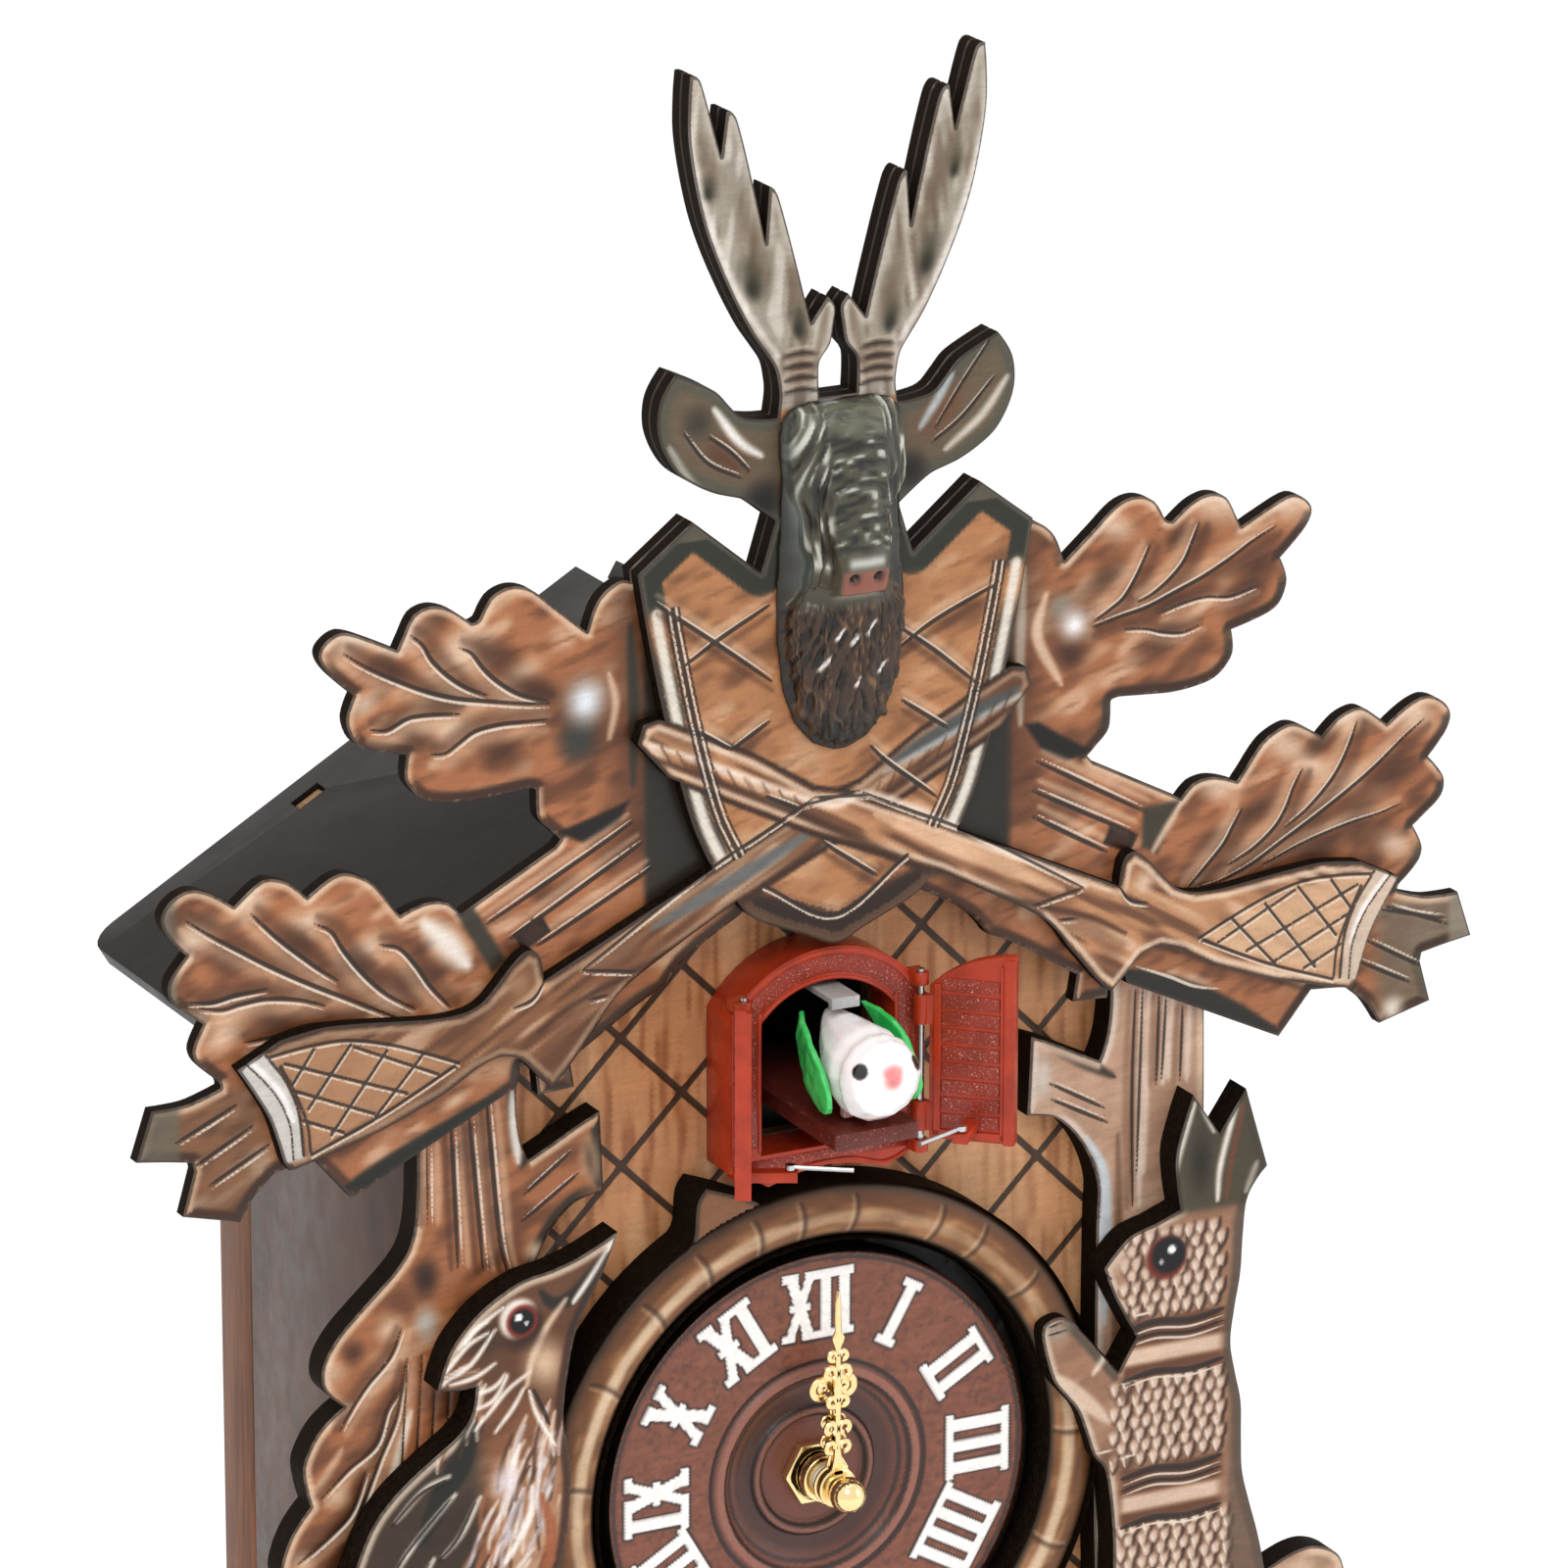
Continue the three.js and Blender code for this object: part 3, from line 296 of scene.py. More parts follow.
def fill(loops, grid=GRID, lines=()):
    """Dense triangulation of the area inside loops[0] and outside the others."""
    edge_pts = np.vstack(loops)
    lo, hi = edge_pts.min(0), edge_pts.max(0)
    if grid > 4:
        return fill_plain(loops)
    xs = np.arange(lo[0], hi[0], grid)
    zs = np.arange(lo[1], hi[1], grid * 0.866)
    X, Z = np.meshgrid(xs, zs)
    X = X + (np.arange(len(zs)) % 2)[:, None] * grid / 2
    g = np.stack([X.ravel(), Z.ravel()], 1)
    if len(lines):
        g = thin_out(np.vstack([stroke_points(lines), g]), grid * 0.5)
    keep = inside(g, loops[0])
    for hole in loops[1:]:
        keep &= ~inside(g, hole)
    g = g[keep]
    d = np.full(len(g), 9.0)
    for lp in loops:
        d = np.minimum(d, line_field(g, np.vstack([lp, lp[:1]]), 9.0)[0])
    g = g[d > grid * 0.45]
    faces = []
    k = 0
    for lp in loops:
        faces.append(list(range(k, k + len(lp))))
        k += len(lp)
    pts2 = [Vector(p) for p in edge_pts] + [Vector(p) for p in g]
    edges = [(f[i], f[(i + 1) % len(f)]) for f in faces for i in range(len(f))]
    co, _, tri, _, _, _ = delaunay_2d_cdt(pts2, edges, [], 0, 1e-7)
    V = np.array([c[:] for c in co])
    T = np.array([t for t in tri if len(t) == 3], int)
    c = V[T].mean(1)
    ok = inside(c, loops[0])
    for hole in loops[1:]:
        ok &= ~inside(c, hole)
    T = T[ok]
    used = np.unique(T)
    remap = np.full(len(V), -1)
    remap[used] = np.arange(len(used))
    T = remap[T]
    V = V[used]
    a = V[T[:, 1]] - V[T[:, 0]]
    b = V[T[:, 2]] - V[T[:, 0]]
    flip = (a[:, 0] * b[:, 1] - a[:, 1] * b[:, 0]) < 0
    T[flip] = T[flip][:, ::-1]
    return V, T


# ------------------------------------------------------------------ node materials
class Mat:
    """A small helper that strings shader nodes together."""

    def __init__(self, name):
        self.m = bpy.data.materials.new(name)
        self.m.use_nodes = True
        self.t = self.m.node_tree
        self.b = self.t.nodes["Principled BSDF"]

    def n(self, kind, **values):
        node = self.t.nodes.new(kind)
        for k, v in values.items():
            setattr(node, k, v)
        return node

    def link(self, a, b):
        self.t.links.new(a, b)

    def put(self, socket, value):
        if isinstance(value, bpy.types.NodeSocket):
            self.link(value, socket)
        elif isinstance(value, (tuple, list)) and len(value) == 3 and socket.type == "RGBA":
            socket.default_value = (*value, 1)
        else:
            socket.default_value = value

    def math(self, op, a, b=0.0, c=0.0, clamp=False):
        n = self.n("ShaderNodeMath", operation=op, use_clamp=clamp)
        for i, v in enumerate((a, b, c)):
            self.put(n.inputs[i], v)
        return n.outputs[0]

    def ramp(self, x, lo, hi, a=0.0, b=1.0, mode="SMOOTHSTEP"):
        n = self.n("ShaderNodeMapRange", interpolation_type=mode)
        for k, v in zip(("Value", "From Min", "From Max", "To Min", "To Max"), (x, lo, hi, a, b)):
            self.put(n.inputs[k], v)
        return n.outputs[0]

    def mix(self, f, a, b, blend="MIX"):
        n = self.n("ShaderNodeMix", data_type="RGBA", blend_type=blend)
        self.put(n.inputs[0], f)
        self.put(n.inputs[6], a)
        self.put(n.inputs[7], b)
        return n.outputs[2]

    def attr(self, name, kind="Fac"):
        return self.n("ShaderNodeAttribute", attribute_name=name).outputs[kind]

    def place(self, scale=(1, 1, 1), turn=(0, 0, 0)):
        c = self.n("ShaderNodeTexCoord")
        m = self.n("ShaderNodeMapping")
        m.inputs["Scale"].default_value = scale
        m.inputs["Rotation"].default_value = turn
        self.link(c.outputs["Object"], m.inputs["Vector"])
        return m.outputs[0]

    def noise(self, vector, scale, detail=4.0, rough=0.55, distort=0.0, out="Fac"):
        n = self.n("ShaderNodeTexNoise")
        self.link(vector, n.inputs["Vector"])
        n.inputs["Scale"].default_value = scale
        n.inputs["Detail"].default_value = detail
        n.inputs["Roughness"].default_value = rough
        n.inputs["Distortion"].default_value = distort
        return n.outputs[out]

    def bump(self, height, strength=0.5, distance=0.0004, normal=None):
        n = self.n("ShaderNodeBump")
        n.inputs["Strength"].default_value = strength
        n.inputs["Distance"].default_value = distance
        self.link(height, n.inputs["Height"])
        if normal is not None:
            self.link(normal, n.inputs["Normal"])
        return n.outputs[0]

    def done(self, color, rough=0.45, normal=None, **sockets):
        self.put(self.b.inputs["Base Color"], color)
        self.put(self.b.inputs["Roughness"], rough)
        if normal is not None:
            self.link(normal, self.b.inputs["Normal"])
        for k, v in sockets.items():
            self.b.inputs[k.replace("_", " ")].default_value = v
        return self.m


def object_y(m):
    c = m.n("ShaderNodeTexCoord")
    s = m.n("ShaderNodeSeparateXYZ")
    m.link(c.outputs["Object"], s.inputs[0])
    return s.outputs


def board_paint(name, rough=0.34, grain=0.5):
    """Printed and airbrushed carving: painted colour, fine wood grain, crisp dark and pale lines."""
    m = Mat(name)
    paint = m.attr("paint", "Color")
    fine = m.noise(m.place((60, 60, 900), (0, 0.5, 0)), 1.6, 5, 0.62, 0.6)
    broad = m.noise(m.place((90, 60, 300), (0, 0.35, 0)), 1.0, 3, 0.5, 1.2)
    speck = m.noise(m.place((1, 1, 1)), 1500, 2, 0.6)
    shade = m.math("MULTIPLY_ADD", m.ramp(fine, 0.3, 0.72, -1, 1, "LINEAR"), 0.13 * grain, 1.0)
    shade = m.math("MULTIPLY_ADD", m.ramp(broad, 0.3, 0.7, -1, 1, "LINEAR"), 0.16 * grain, shade)
    shade = m.math("MULTIPLY_ADD", m.ramp(speck, 0.3, 0.7, -1, 1, "LINEAR"), 0.06, shade)
    v = m.n("ShaderNodeCombineColor")
    for i in range(3):
        m.link(shade, v.inputs[i])
    base = m.mix(1.0, paint, v.outputs[0], "MULTIPLY")
    white = m.ramp(m.attr("pale"), -0.12, 0.16)
    base = m.mix(m.math("MULTIPLY", white, 0.8), base, (0.66, 0.56, 0.46))
    dark = m.ramp(m.attr("dark"), -0.12, 0.16)
    base = m.mix(m.math("MULTIPLY", dark, 0.93), base, (0.020, 0.012, 0.008))
    edge = m.attr("edge")
    rim = m.ramp(edge, 0.35, 0.62, 1.0, 0.0)
    base = m.mix(m.math("MULTIPLY", rim, 0.85), base, (0.035, 0.022, 0.015))
    h = m.math("MULTIPLY_ADD", fine, 0.5, m.math("MULTIPLY", speck, 0.35))
    r = m.math("MULTIPLY_ADD", broad, 0.12, rough - 0.04)
    return m.done(base, r, m.bump(h, 0.16, 0.00012), Coat_Weight=0.05, Coat_Roughness=0.12, Specular_IOR_Level=0.28)


def burnt_edge(name="burnt_edge"):
    m = Mat(name)
    s = object_y(m)
    n = m.noise(m.place((1, 1, 1)), 900, 4, 0.6)
    layer = m.math("SINE", m.math("MULTIPLY", s["Y"], 2 * math.pi / 0.0011))
    f = m.math("MULTIPLY_ADD", layer, 0.10, n)
    base = m.mix(m.ramp(f, 0.35, 0.8), (0.005, 0.003, 0.002), (0.020, 0.011, 0.006))
    return m.done(base, m.ramp(n, 0.3, 0.7, 0.6, 0.85), m.bump(f, 0.5, 0.0002), Specular_IOR_Level=0.04)


def wood_print(name, dark, light, scale=(1, 1, 1), rough=0.4, coat=0.2, contrast=0.6, turn=(0, 0, 0)):
    m = Mat(name)
    p = m.place(scale, turn)
    long = m.noise(p, 1.0, 6, 0.6, 0.8)
    pores = m.noise(m.place(tuple(3.2 * v for v in scale), turn), 1.0, 3, 0.7, 0.2)
    f = m.math("MULTIPLY_ADD", m.math("SUBTRACT", pores, 0.5), 0.45, long)
    base = m.mix(m.ramp(f, 0.5 - 0.3 * contrast, 0.5 + 0.3 * contrast), dark, light)
    return m.done(base, m.ramp(pores, 0.3, 0.7, rough - 0.05, rough + 0.07), m.bump(f, 0.2, 0.00015),
                  Coat_Weight=coat * 0.4, Coat_Roughness=0.15, Specular_IOR_Level=0.2)


def moulded(name, color, rough=0.35, speckle=0.15, bump=0.15, light=None, scale=1400.0, metal=0.0, coat=0.0):
    m = Mat(name)
    p = m.place()
    a = m.noise(p, scale, 3, 0.6)
    b = m.noise(p, 90, 3, 0.5)
    tint = light or tuple(min(1.0, c * 1.35 + 0.01) for c in color)
    f = m.math("MULTIPLY_ADD", m.math("SUBTRACT", b, 0.5), 0.5, a)
    base = m.mix(m.math("MULTIPLY", m.ramp(f, 0.45, 0.75), speckle), color, tint)
    return m.done(base, m.ramp(b, 0.3, 0.7, rough - 0.04, rough + 0.06), m.bump(a, bump, 0.0001),
                  Metallic=metal, Coat_Weight=coat, Coat_Roughness=0.1)


def srgb(r, g, b):
    return tuple(float(v) for v in to_linear(np.array([r, g, b], float)))


def to_linear(c):
    c = np.clip(np.asarray(c, float) / 255.0, 0, 1)
    return np.where(c <= 0.04045, c / 12.92, ((c + 0.055) / 1.055) ** 2.4)


def graded(c):
    """Painted colours as they sit under bright studio light: deeper and with more contrast."""
    v = to_linear(c)
    grey = v.mean(1, keepdims=True)
    v = grey + (v - grey) * 0.86
    return 0.94 * v ** 1.3


# ------------------------------------------------------------------ painting a board
def hash_noise(P, size, seed):
    """Smooth value noise, the same on every run."""
    q = P / size
    i = np.floor(q).astype(np.int64)
    f = q - i
    f = f * f * (3 - 2 * f)

    def at(dx, dz):
        h = ((i[:, 0] + dx) * 374761393 + (i[:, 1] + dz) * 668265263 + seed * 974711) & 0x7FFFFFFF
        h = (h ^ (h >> 13)) * 1274126177 & 0x7FFFFFFF
        return ((h ^ (h >> 16)) & 0xFFFF) / 65535.0
    a = at(0, 0) * (1 - f[:, 0]) + at(1, 0) * f[:, 0]
    b = at(0, 1) * (1 - f[:, 0]) + at(1, 1) * f[:, 0]
    return a * (1 - f[:, 1]) + b * f[:, 1]


LEAF = (166, 116, 76)
BROWN = (84, 50, 28)
DEEP = (58, 34, 20)
CREAM = (226, 198, 172)
OLIVE = (66, 64, 54)
BLACK = (24, 20, 18)
GREY = (150, 144, 134)


class Paint:
    def __init__(self, P, edge, base=LEAF, mottle=0.5, seed=1):
        self.P, self.edge = P, edge
        self.c = np.tile(np.array(base, float), (len(P), 1))
        self.dark = np.full(len(P), -3.0)
        self.pale = np.full(len(P), -3.0)
        self.depth = np.zeros(len(P))
        self.lines = []
        if mottle:
            u = np.stack([P[:, 0] * 0.9 + P[:, 1] * 0.5, P[:, 1] * 2.0 - P[:, 0]], 1)
            a = 0.6 * hash_noise(u, 14.0, seed) + 0.4 * hash_noise(u, 5.0, seed + 7)
            self.over(smooth(0.5, 0.85, a) * mottle * 0.8, BROWN)
            self.over(smooth(0.45, 0.15, a) * mottle * 0.8, CREAM)
            b = hash_noise(np.stack([P[:, 0] * 0.22 + P[:, 1] * 0.06, P[:, 1] * 1.3 - P[:, 0] * 0.35], 1), 1.3,
                           seed + 3)
            self.over(smooth(0.6, 0.95, b) * mottle * 0.6, (120, 74, 42))

    def over(self, k, color):
        k = np.broadcast_to(np.clip(k, 0, 1), (len(self.P),))
        on = np.where(k > 0)[0]
        w = k[on][:, None]
        self.c[on] = self.c[on] * (1 - w) + np.array(color, float) * w

    def over_at(self, on, k, color):
        w = np.clip(k, 0, 1)[:, None]
        self.c[on] = self.c[on] * (1 - w) + np.array(color, float) * w

    def blob(self, x, z, r, color, k=0.9, rz=None, turn=0.0, hard=0.0):
        rz = rz or r
        reach = 1.3 * max(r, rz)
        on = np.where((np.abs(self.P[:, 0] - x) < reach) & (np.abs(self.P[:, 1] - z) < reach))[0]
        t = math.radians(turn)
        dx, dz = self.P[on, 0] - x, self.P[on, 1] - z
        u, v = dx * math.cos(t) + dz * math.sin(t), dz * math.cos(t) - dx * math.sin(t)
        d = np.sqrt((u / r) ** 2 + (v / rz) ** 2)
        self.over_at(on, k * smooth(1.25, hard, d), color)

    def clear(self, x, z, r):
        """Takes the crisp lines off a round patch."""
        on = np.hypot(self.P[:, 0] - x, self.P[:, 1] - z) < r
        self.dark[on] = -3
        self.pale[on] = -3
        self.depth[on] *= 0.2

    def band(self, line, width, color, k=0.8, soft=0.7, taper=True, step=1.0):
        c = curve(line, step)
        on, d, s = near_line(self.P, c, width + soft + 1.5)
        w = width / 2 * (np.sqrt(np.clip(4 * s * (1 - s), 0.0, 1)) if taper else 1.0)
        self.over_at(on, k * smooth(w + soft, np.maximum(w - soft, 0) - 0.01, d), color)

    def area(self, poly, color, k=1.0, soft=0.4):
        self.over(k * smooth(-soft, soft, area_field(self.P, poly)), color)

    def dark_line(self, line, width=0.9, taper=True, depth=0.45):
        c = curve(line, 0.8)
        self.lines.append((c, width))
        on, d, s = near_line(self.P, c, 3.0)
        w = width / 2 * (0.35 + 0.65 * np.sqrt(np.clip(4 * s * (1 - s), 0, 1)) if taper else 1.0)
        self.dark[on] = np.maximum(self.dark[on], w - d)
        self.depth[on] = np.maximum(self.depth[on], depth * smooth(w + 0.5, 0, d))

    def pale_line(self, line, width=0.5, taper=True):
        c = curve(line, 0.8)
        self.lines.append((c, width))
        on, d, s = near_line(self.P, c, 3.0)
        w = width / 2 * (np.sqrt(np.clip(4 * s * (1 - s), 0, 1)) if taper else 1.0)
        self.pale[on] = np.maximum(self.pale[on], w - d)

    def vein(self, line, width=0.95, side=1, halo=3.2, pale=0.55, glow=0.55):
        """A cut groove with a pale lip on one side, a brown fade on the other."""
        c = curve(line, 0.8)
        self.band(offset(c, side * halo * 0.62), halo, CREAM, glow * 0.75, halo * 0.45)
        self.band(offset(c, -side * halo * 0.5), halo, BROWN, glow * 0.8, halo * 0.5)
        self.dark_line(line, width)
        self.pale_line(offset(c, side * (width / 2 + 0.3)), pale)

    def rim(self, width, color, k=0.6, soft=0.6, inner=0.0):
        e = self.edge
        self.over(k * smooth(width + soft, width - soft, e) * smooth(inner - soft, inner + soft, e), color)

    def rim_lit(self, direction, width, color, k=0.8, soft=0.6):
        """Colours only those edges that face one direction."""
        g = self.grad
        f = np.clip(-(g[:, 0] * direction[0] + g[:, 1] * direction[1]), 0, 1)
        self.over(k * smooth(0.25, 0.75, f) * smooth(width + soft, width - soft, self.edge), color)


def edge_field(P, loops, far=9.0):
    """Distance to the outline and the direction pointing inward from it."""
    d = np.full(len(P), far)
    g = np.zeros((len(P), 2))
    for lp in loops:
        line = np.vstack([lp, lp[:1]])
        lo, hi = line.min(0) - far, line.max(0) + far
        near = np.where(((P > lo) & (P < hi)).all(1))[0]
        for chunk in np.array_split(near, max(1, len(near) * len(line) // 3000000 + 1)):
            D, t = seg_distance(P[chunk], line[:-1], line[1:])
            k = D.argmin(1)
            r = np.arange(len(chunk))
            best = D[r, k]
            q = line[:-1][k] + t[r, k][:, None] * (line[1:] - line[:-1])[k]
            better = best < d[chunk]
            ids = chunk[better]
            d[ids] = best[better]
            g[ids] = (P[ids] - q[better]) / np.maximum(best[better], 1e-9)[:, None]
    return d, g


def relief_board(node, name, painter, front_mat, edge_mat, grid=GRID, bevel=0.45, base=LEAF, mottle=0.5,
                 refined=True, seed=1, extra=None, loops=None):
    """A board rebuilt from its outline with carved grooves, softened edges and a layered burnt edge."""
    lo, hi = (np.array(v) * 1000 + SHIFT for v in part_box(node))
    front = lo[1]
    if loops is None:
        loops, front = front_loops(node)
    else:
        refined = False
    loops = sorted(loops, key=lambda q: -np.ptp(q[:, 0]) * np.ptp(q[:, 1]))
    if refined:
        loops = [refine(q) for q in loops]
        loops = [np.clip(q, [lo[0], lo[2]], [hi[0], hi[2]]) for q in loops]
    probe = Paint(np.zeros((1, 2)), np.zeros(1), base, 0)
    probe.grad = np.zeros((1, 2))
    painter(probe)
    V, T = fill(loops, grid, probe.lines)
    e, g = edge_field(V, loops)
    p = Paint(V, e, base, mottle, seed)
    p.grad = g
    painter(p)
    depth = p.depth + bevel * (1 - np.sqrt(np.clip(1 - (1 - np.clip(e / (bevel * 1.6), 0, 1)) ** 2, 0, 1)))
    if extra is not None:
        depth = depth + extra(V, e)
    verts = [np.stack([V[:, 0], front + depth, V[:, 1]], 1)]
    faces = [tuple(t) for t in T]
    count = len(V)
    back = hi[1]
    wall = []
    for lp in loops:
        n = len(lp)
        d0 = np.full(n, front + bevel)
        rings = [d0 + (back - d0) * f for f in (0, 0.25, 0.5, 0.75, 1)]
        base_i = count
        for y in rings:
            verts.append(np.stack([lp[:, 0], y, lp[:, 1]], 1))
        ccw = (lp[:, 0] * np.roll(lp[:, 1], -1) - np.roll(lp[:, 0], -1) * lp[:, 1]).sum() > 0
        outer = lp is loops[0]
        for r in range(4):
            for i in range(n):
                a, b = base_i + r * n + i, base_i + r * n + (i + 1) % n
                q = (a, a + n, b + n, b)
                wall.append(q if ccw == outer else q[::-1])
        count += 5 * n
    BV, BT = fill([lp[::1] for lp in loops], 6.0)
    verts.append(np.stack([BV[:, 0], np.full(len(BV), back), BV[:, 1]], 1))
    wall += [tuple(int(i) + count for i in t[::-1]) for t in BT]
    total = count + len(BV)

    def full(a, value=0.0):
        out = np.full((total,) + a.shape[1:], value, float)
        out[: len(V)] = a
        return out
    ob = mesh_object(name, np.vstack(verts), faces + wall, front_mat, True, {
        "paint": full(graded(p.c)), "dark": full(p.dark, -3), "pale": full(p.pale, -3), "edge": full(e)})
    ob.data.materials.append(edge_mat)
    idx = np.zeros(len(ob.data.polygons), np.int32)
    idx[len(faces):] = 1
    ob.data.polygons.foreach_set("material_index", idx)
    flat = np.ones(len(ob.data.polygons), bool)
    ob.data.polygons.foreach_set("use_smooth", flat)
    ob.data.update()
    stands_for(ob, node)
    return ob


def evaluated(ob, name):
    dg = bpy.context.evaluated_depsgraph_get()
    me = bpy.data.meshes.new_from_object(ob.evaluated_get(dg), depsgraph=dg)
    me.name = name
    return me


def copied(node, name):
    me = NODES[node].data.copy()
    me.name = name
    me.materials.clear()
    ob = bpy.data.objects.new(name, me)
    bpy.context.scene.collection.objects.link(ob)
    w = ob.modifiers.new("weld", "WELD")
    w.merge_threshold = 0.00002
    return ob


def softened(node, material, width=0.35, segments=3, name=None, angle=28):
    """The CAD part with small rounded edges."""
    ob = copied(node, name or node + "_soft")
    if "sharp_edge" in ob.data.attributes:
        ob.data.attributes.remove(ob.data.attributes["sharp_edge"])
    b = ob.modifiers.new("bevel", "BEVEL")
    b.width = width / 1000
    b.segments = segments
    b.limit_method = "ANGLE"
    b.angle_limit = math.radians(angle)
    b.harden_normals = True
    b.use_clamp_overlap = True
    ob.data.shade_smooth()
    me = evaluated(ob, ob.name)
    ob.modifiers.clear()
    ob.data = me
    me.materials.clear()
    me.materials.append(material)
    return stands_for(ob, node)


def remeshed(node, size, name=None):
    """The CAD part as an even fine mesh, for sculpting."""
    ob = copied(node, name or node + "_form")
    r = ob.modifiers.new("remesh", "REMESH")
    r.mode = "VOXEL"
    r.voxel_size = size / 1000
    r.use_smooth_shade = True
    s = ob.modifiers.new("smooth", "SMOOTH")
    s.iterations = 4
    s.factor = 0.5
    me = evaluated(ob, ob.name)
    ob.modifiers.clear()
    ob.data = me
    me.materials.clear()
    me.shade_smooth()
    return ob


def arrays(ob):
    me = ob.data
    co = np.zeros(len(me.vertices) * 3)
    no = np.zeros(len(me.vertices) * 3)
    me.vertices.foreach_get("co", co)
    me.vertices.foreach_get("normal", no)
    return co.reshape(-1, 3) * 1000 + SHIFT, no.reshape(-1, 3)


def reshape(ob, co, node=None):
    if node:
        lo, hi = (np.array(v) * 1000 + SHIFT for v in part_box(node))
        co = np.clip(co, lo, hi)
    ob.data.vertices.foreach_set("co", row(co).ravel())
    ob.data.update()


def colour_points(ob, rgb, key="paint"):
    rgba = np.ones((len(rgb), 4), np.float32)
    rgba[:, :3] = to_linear(rgb)
    ob.data.attributes.new(key, "FLOAT_COLOR", "POINT").data.foreach_set("color", rgba.ravel())


# ------------------------------------------------------------------ the painted boards
CARVED = board_paint("carved_paint")
BURNT = burnt_edge()


def twig_grooves(p, lines, side):
    for text in lines:
        p.dark_line(pts(text), 0.9)
        p.pale_line(offset(curve(pts(text)), side * 0.8), 0.5)


def paint_gable(p):
    x, z = p.P[:, 0], p.P[:, 1]
    left = x < 0
    # lower bodies and twigs are darker and greener
    p.over(0.3 * smooth(-116, -124, x) * smooth(106, 99, z), OLIVE)
    p.over(0.75 * smooth(121, 127, x) * smooth(103, 99, z), (120, 110, 95))
    p.over(0.6 * (smooth(52, 40, np.abs(x)) * smooth(128, 138, z)), BROWN)
    p.rim_lit((0, 1), 1.5, CREAM, 0.75)
    p.rim_lit((-1, 0), 1.3, CREAM, 0.6)
    p.rim_lit((0.7, -0.7), 2.2, OLIVE, 0.85)
    p.rim_lit((0, -1), 2.0, BROWN, 0.9)
    for cx, cz, r in ((-100, 187, 7), (-90, 186, 6), (-78, 183, 6), (-66, 175, 5), (-98, 174, 4), (-80, 166, 5),
                      (-134, 133, 6), (-122, 138, 5), (-110, 133, 5), (-98, 126, 5), (-128, 113, 5), (-112, 108, 5),
                      (62.5, 187.5, 5), (85, 189.4, 7), (101, 187, 6), (86.3, 130.7, 5), (101.7, 137.3, 6),
                      (115.7, 141.3, 6), (131.7, 139.3, 6), (127.7, 112.7, 5), (108, 132, 5)):
        p.blob(cx, cz, r * 1.25, (234, 212, 192), 0.72, r * 0.75, 25 if cx < 0 else -25)
    for cx, cz, r in ((-92, 180, 3), (-82, 173, 4), (-70, 180, 4), (-62, 172, 4), (-88, 166, 4), (-70, 161, 5),
                      (-127, 128, 4), (-112, 129, 4), (-100, 122, 4), (-90, 118, 4), (-118, 115, 4), (-104, 108, 4),
                      (60.6, 177.5, 4), (95, 175, 5), (73, 162.5, 5), (92, 169, 4), (77, 184, 3), (127, 128, 5),
                      (118.3, 120.7, 4), (95.7, 124.7, 4), (85, 119.3, 4), (109, 113.3, 5), (110, 137, 3)):
        p.blob(cx, cz, r * 1.7, BROWN, 0.75, r * 0.9, -30 if cx < 0 else 30)
    down = -1
    for text in ("-101.9,184.4 -97.5,181.3 -91.3,177.8 -85,174.7 -78.8,172.5 -71.3,170.8 -65,169.5 -59.4,168.7",
                 "-88.1,186.1 -85.6,183.8 -83.8,180.6 -80.6,177.2 -76.9,174.4 -72.5,172.2",
                 "-78,182.2 -75.6,180.9 -73.1,177.5 -70,174.4 -65.6,171.4 -59.7,169.3",
                 "-96.7,168.8 -93.4,168.3 -90.6,169.4 -88.4,170.1 -83.8,170 -78.1,169.3",
                 "-84.1,162.2 -81.3,162 -78.1,163.8 -75,165.5 -70,166.1 -65,165.9 -60,165.6",
                 "-135,137 -130.7,133.7 -124.7,129.7 -118,125.3 -110.7,121 -102.7,116.7 -95.3,112.7 -90.7,110.3",
                 "-121.7,136.3 -119.3,133.7 -116,130.3 -112,126.7 -108,123.3 -104,120.3",
                 "-108.7,132.3 -105.3,130.3 -102.7,126 -98.7,120.7 -94,116 -88,112",
                 "-95.3,126.1 -91.3,124.8 -88,121 -84.7,116 -80.7,111.3",
                 "-135,120.8 -130,120.1 -125.3,120.7 -118.7,121",
                 "-132.7,119.3 -128,118.3 -124,118.8 -118.7,119 -112,117.7 -106.7,115.7",
                 "-123.3,111 -117.3,111.3 -111.3,112.3 -105.3,112 -98.7,111.3"):
        p.vein(pts(text), 0.95, down)
    for text in ("58.1,167.5 63.8,168.8 70,170 76.3,172.2 82.5,174.5 88.8,177.5 93.8,180.3 98.8,182.5",
                 "58.4,168.8 61.3,170.3 64.7,172.5 67.2,175.9 69.1,179.4 70.6,182.5",
                 "68.1,171.3 71.3,172.5 75,175 78.1,178.1 80,181.9 81.6,185.6",
                 "82.3,110 87.7,111 94.3,113.3 101.7,117.3 109,121.3 117,126 123,130 129,134.7 133.7,138",
                 "102.3,120 107,123 111.7,127.3 114.7,131.3 117,136 118.3,139.7",
                 "89.3,114 95,116.7 99.7,120.3 102.3,124 104,128 106,131.7",
                 "80.3,110.7 85,115.3 88.3,118.7 90.3,122 92.3,125.3"):
        p.vein(pts(text), 0.85, 1, glow=0.6)
    for text in ("72.8,168.4 78.1,169.7 83.1,170.3 88.8,169.7 94.7,171.1",
                 "65,166.3 70,165.6 73.8,164.4 78.1,163.8 82.5,164.9",
                 "128.7,121 123.7,119.7 117,118.7 108.3,116.7 103,115 97.7,113"):
        p.vein(pts(text), 0.6, -1, halo=2.2, pale=0.5, glow=0.45)
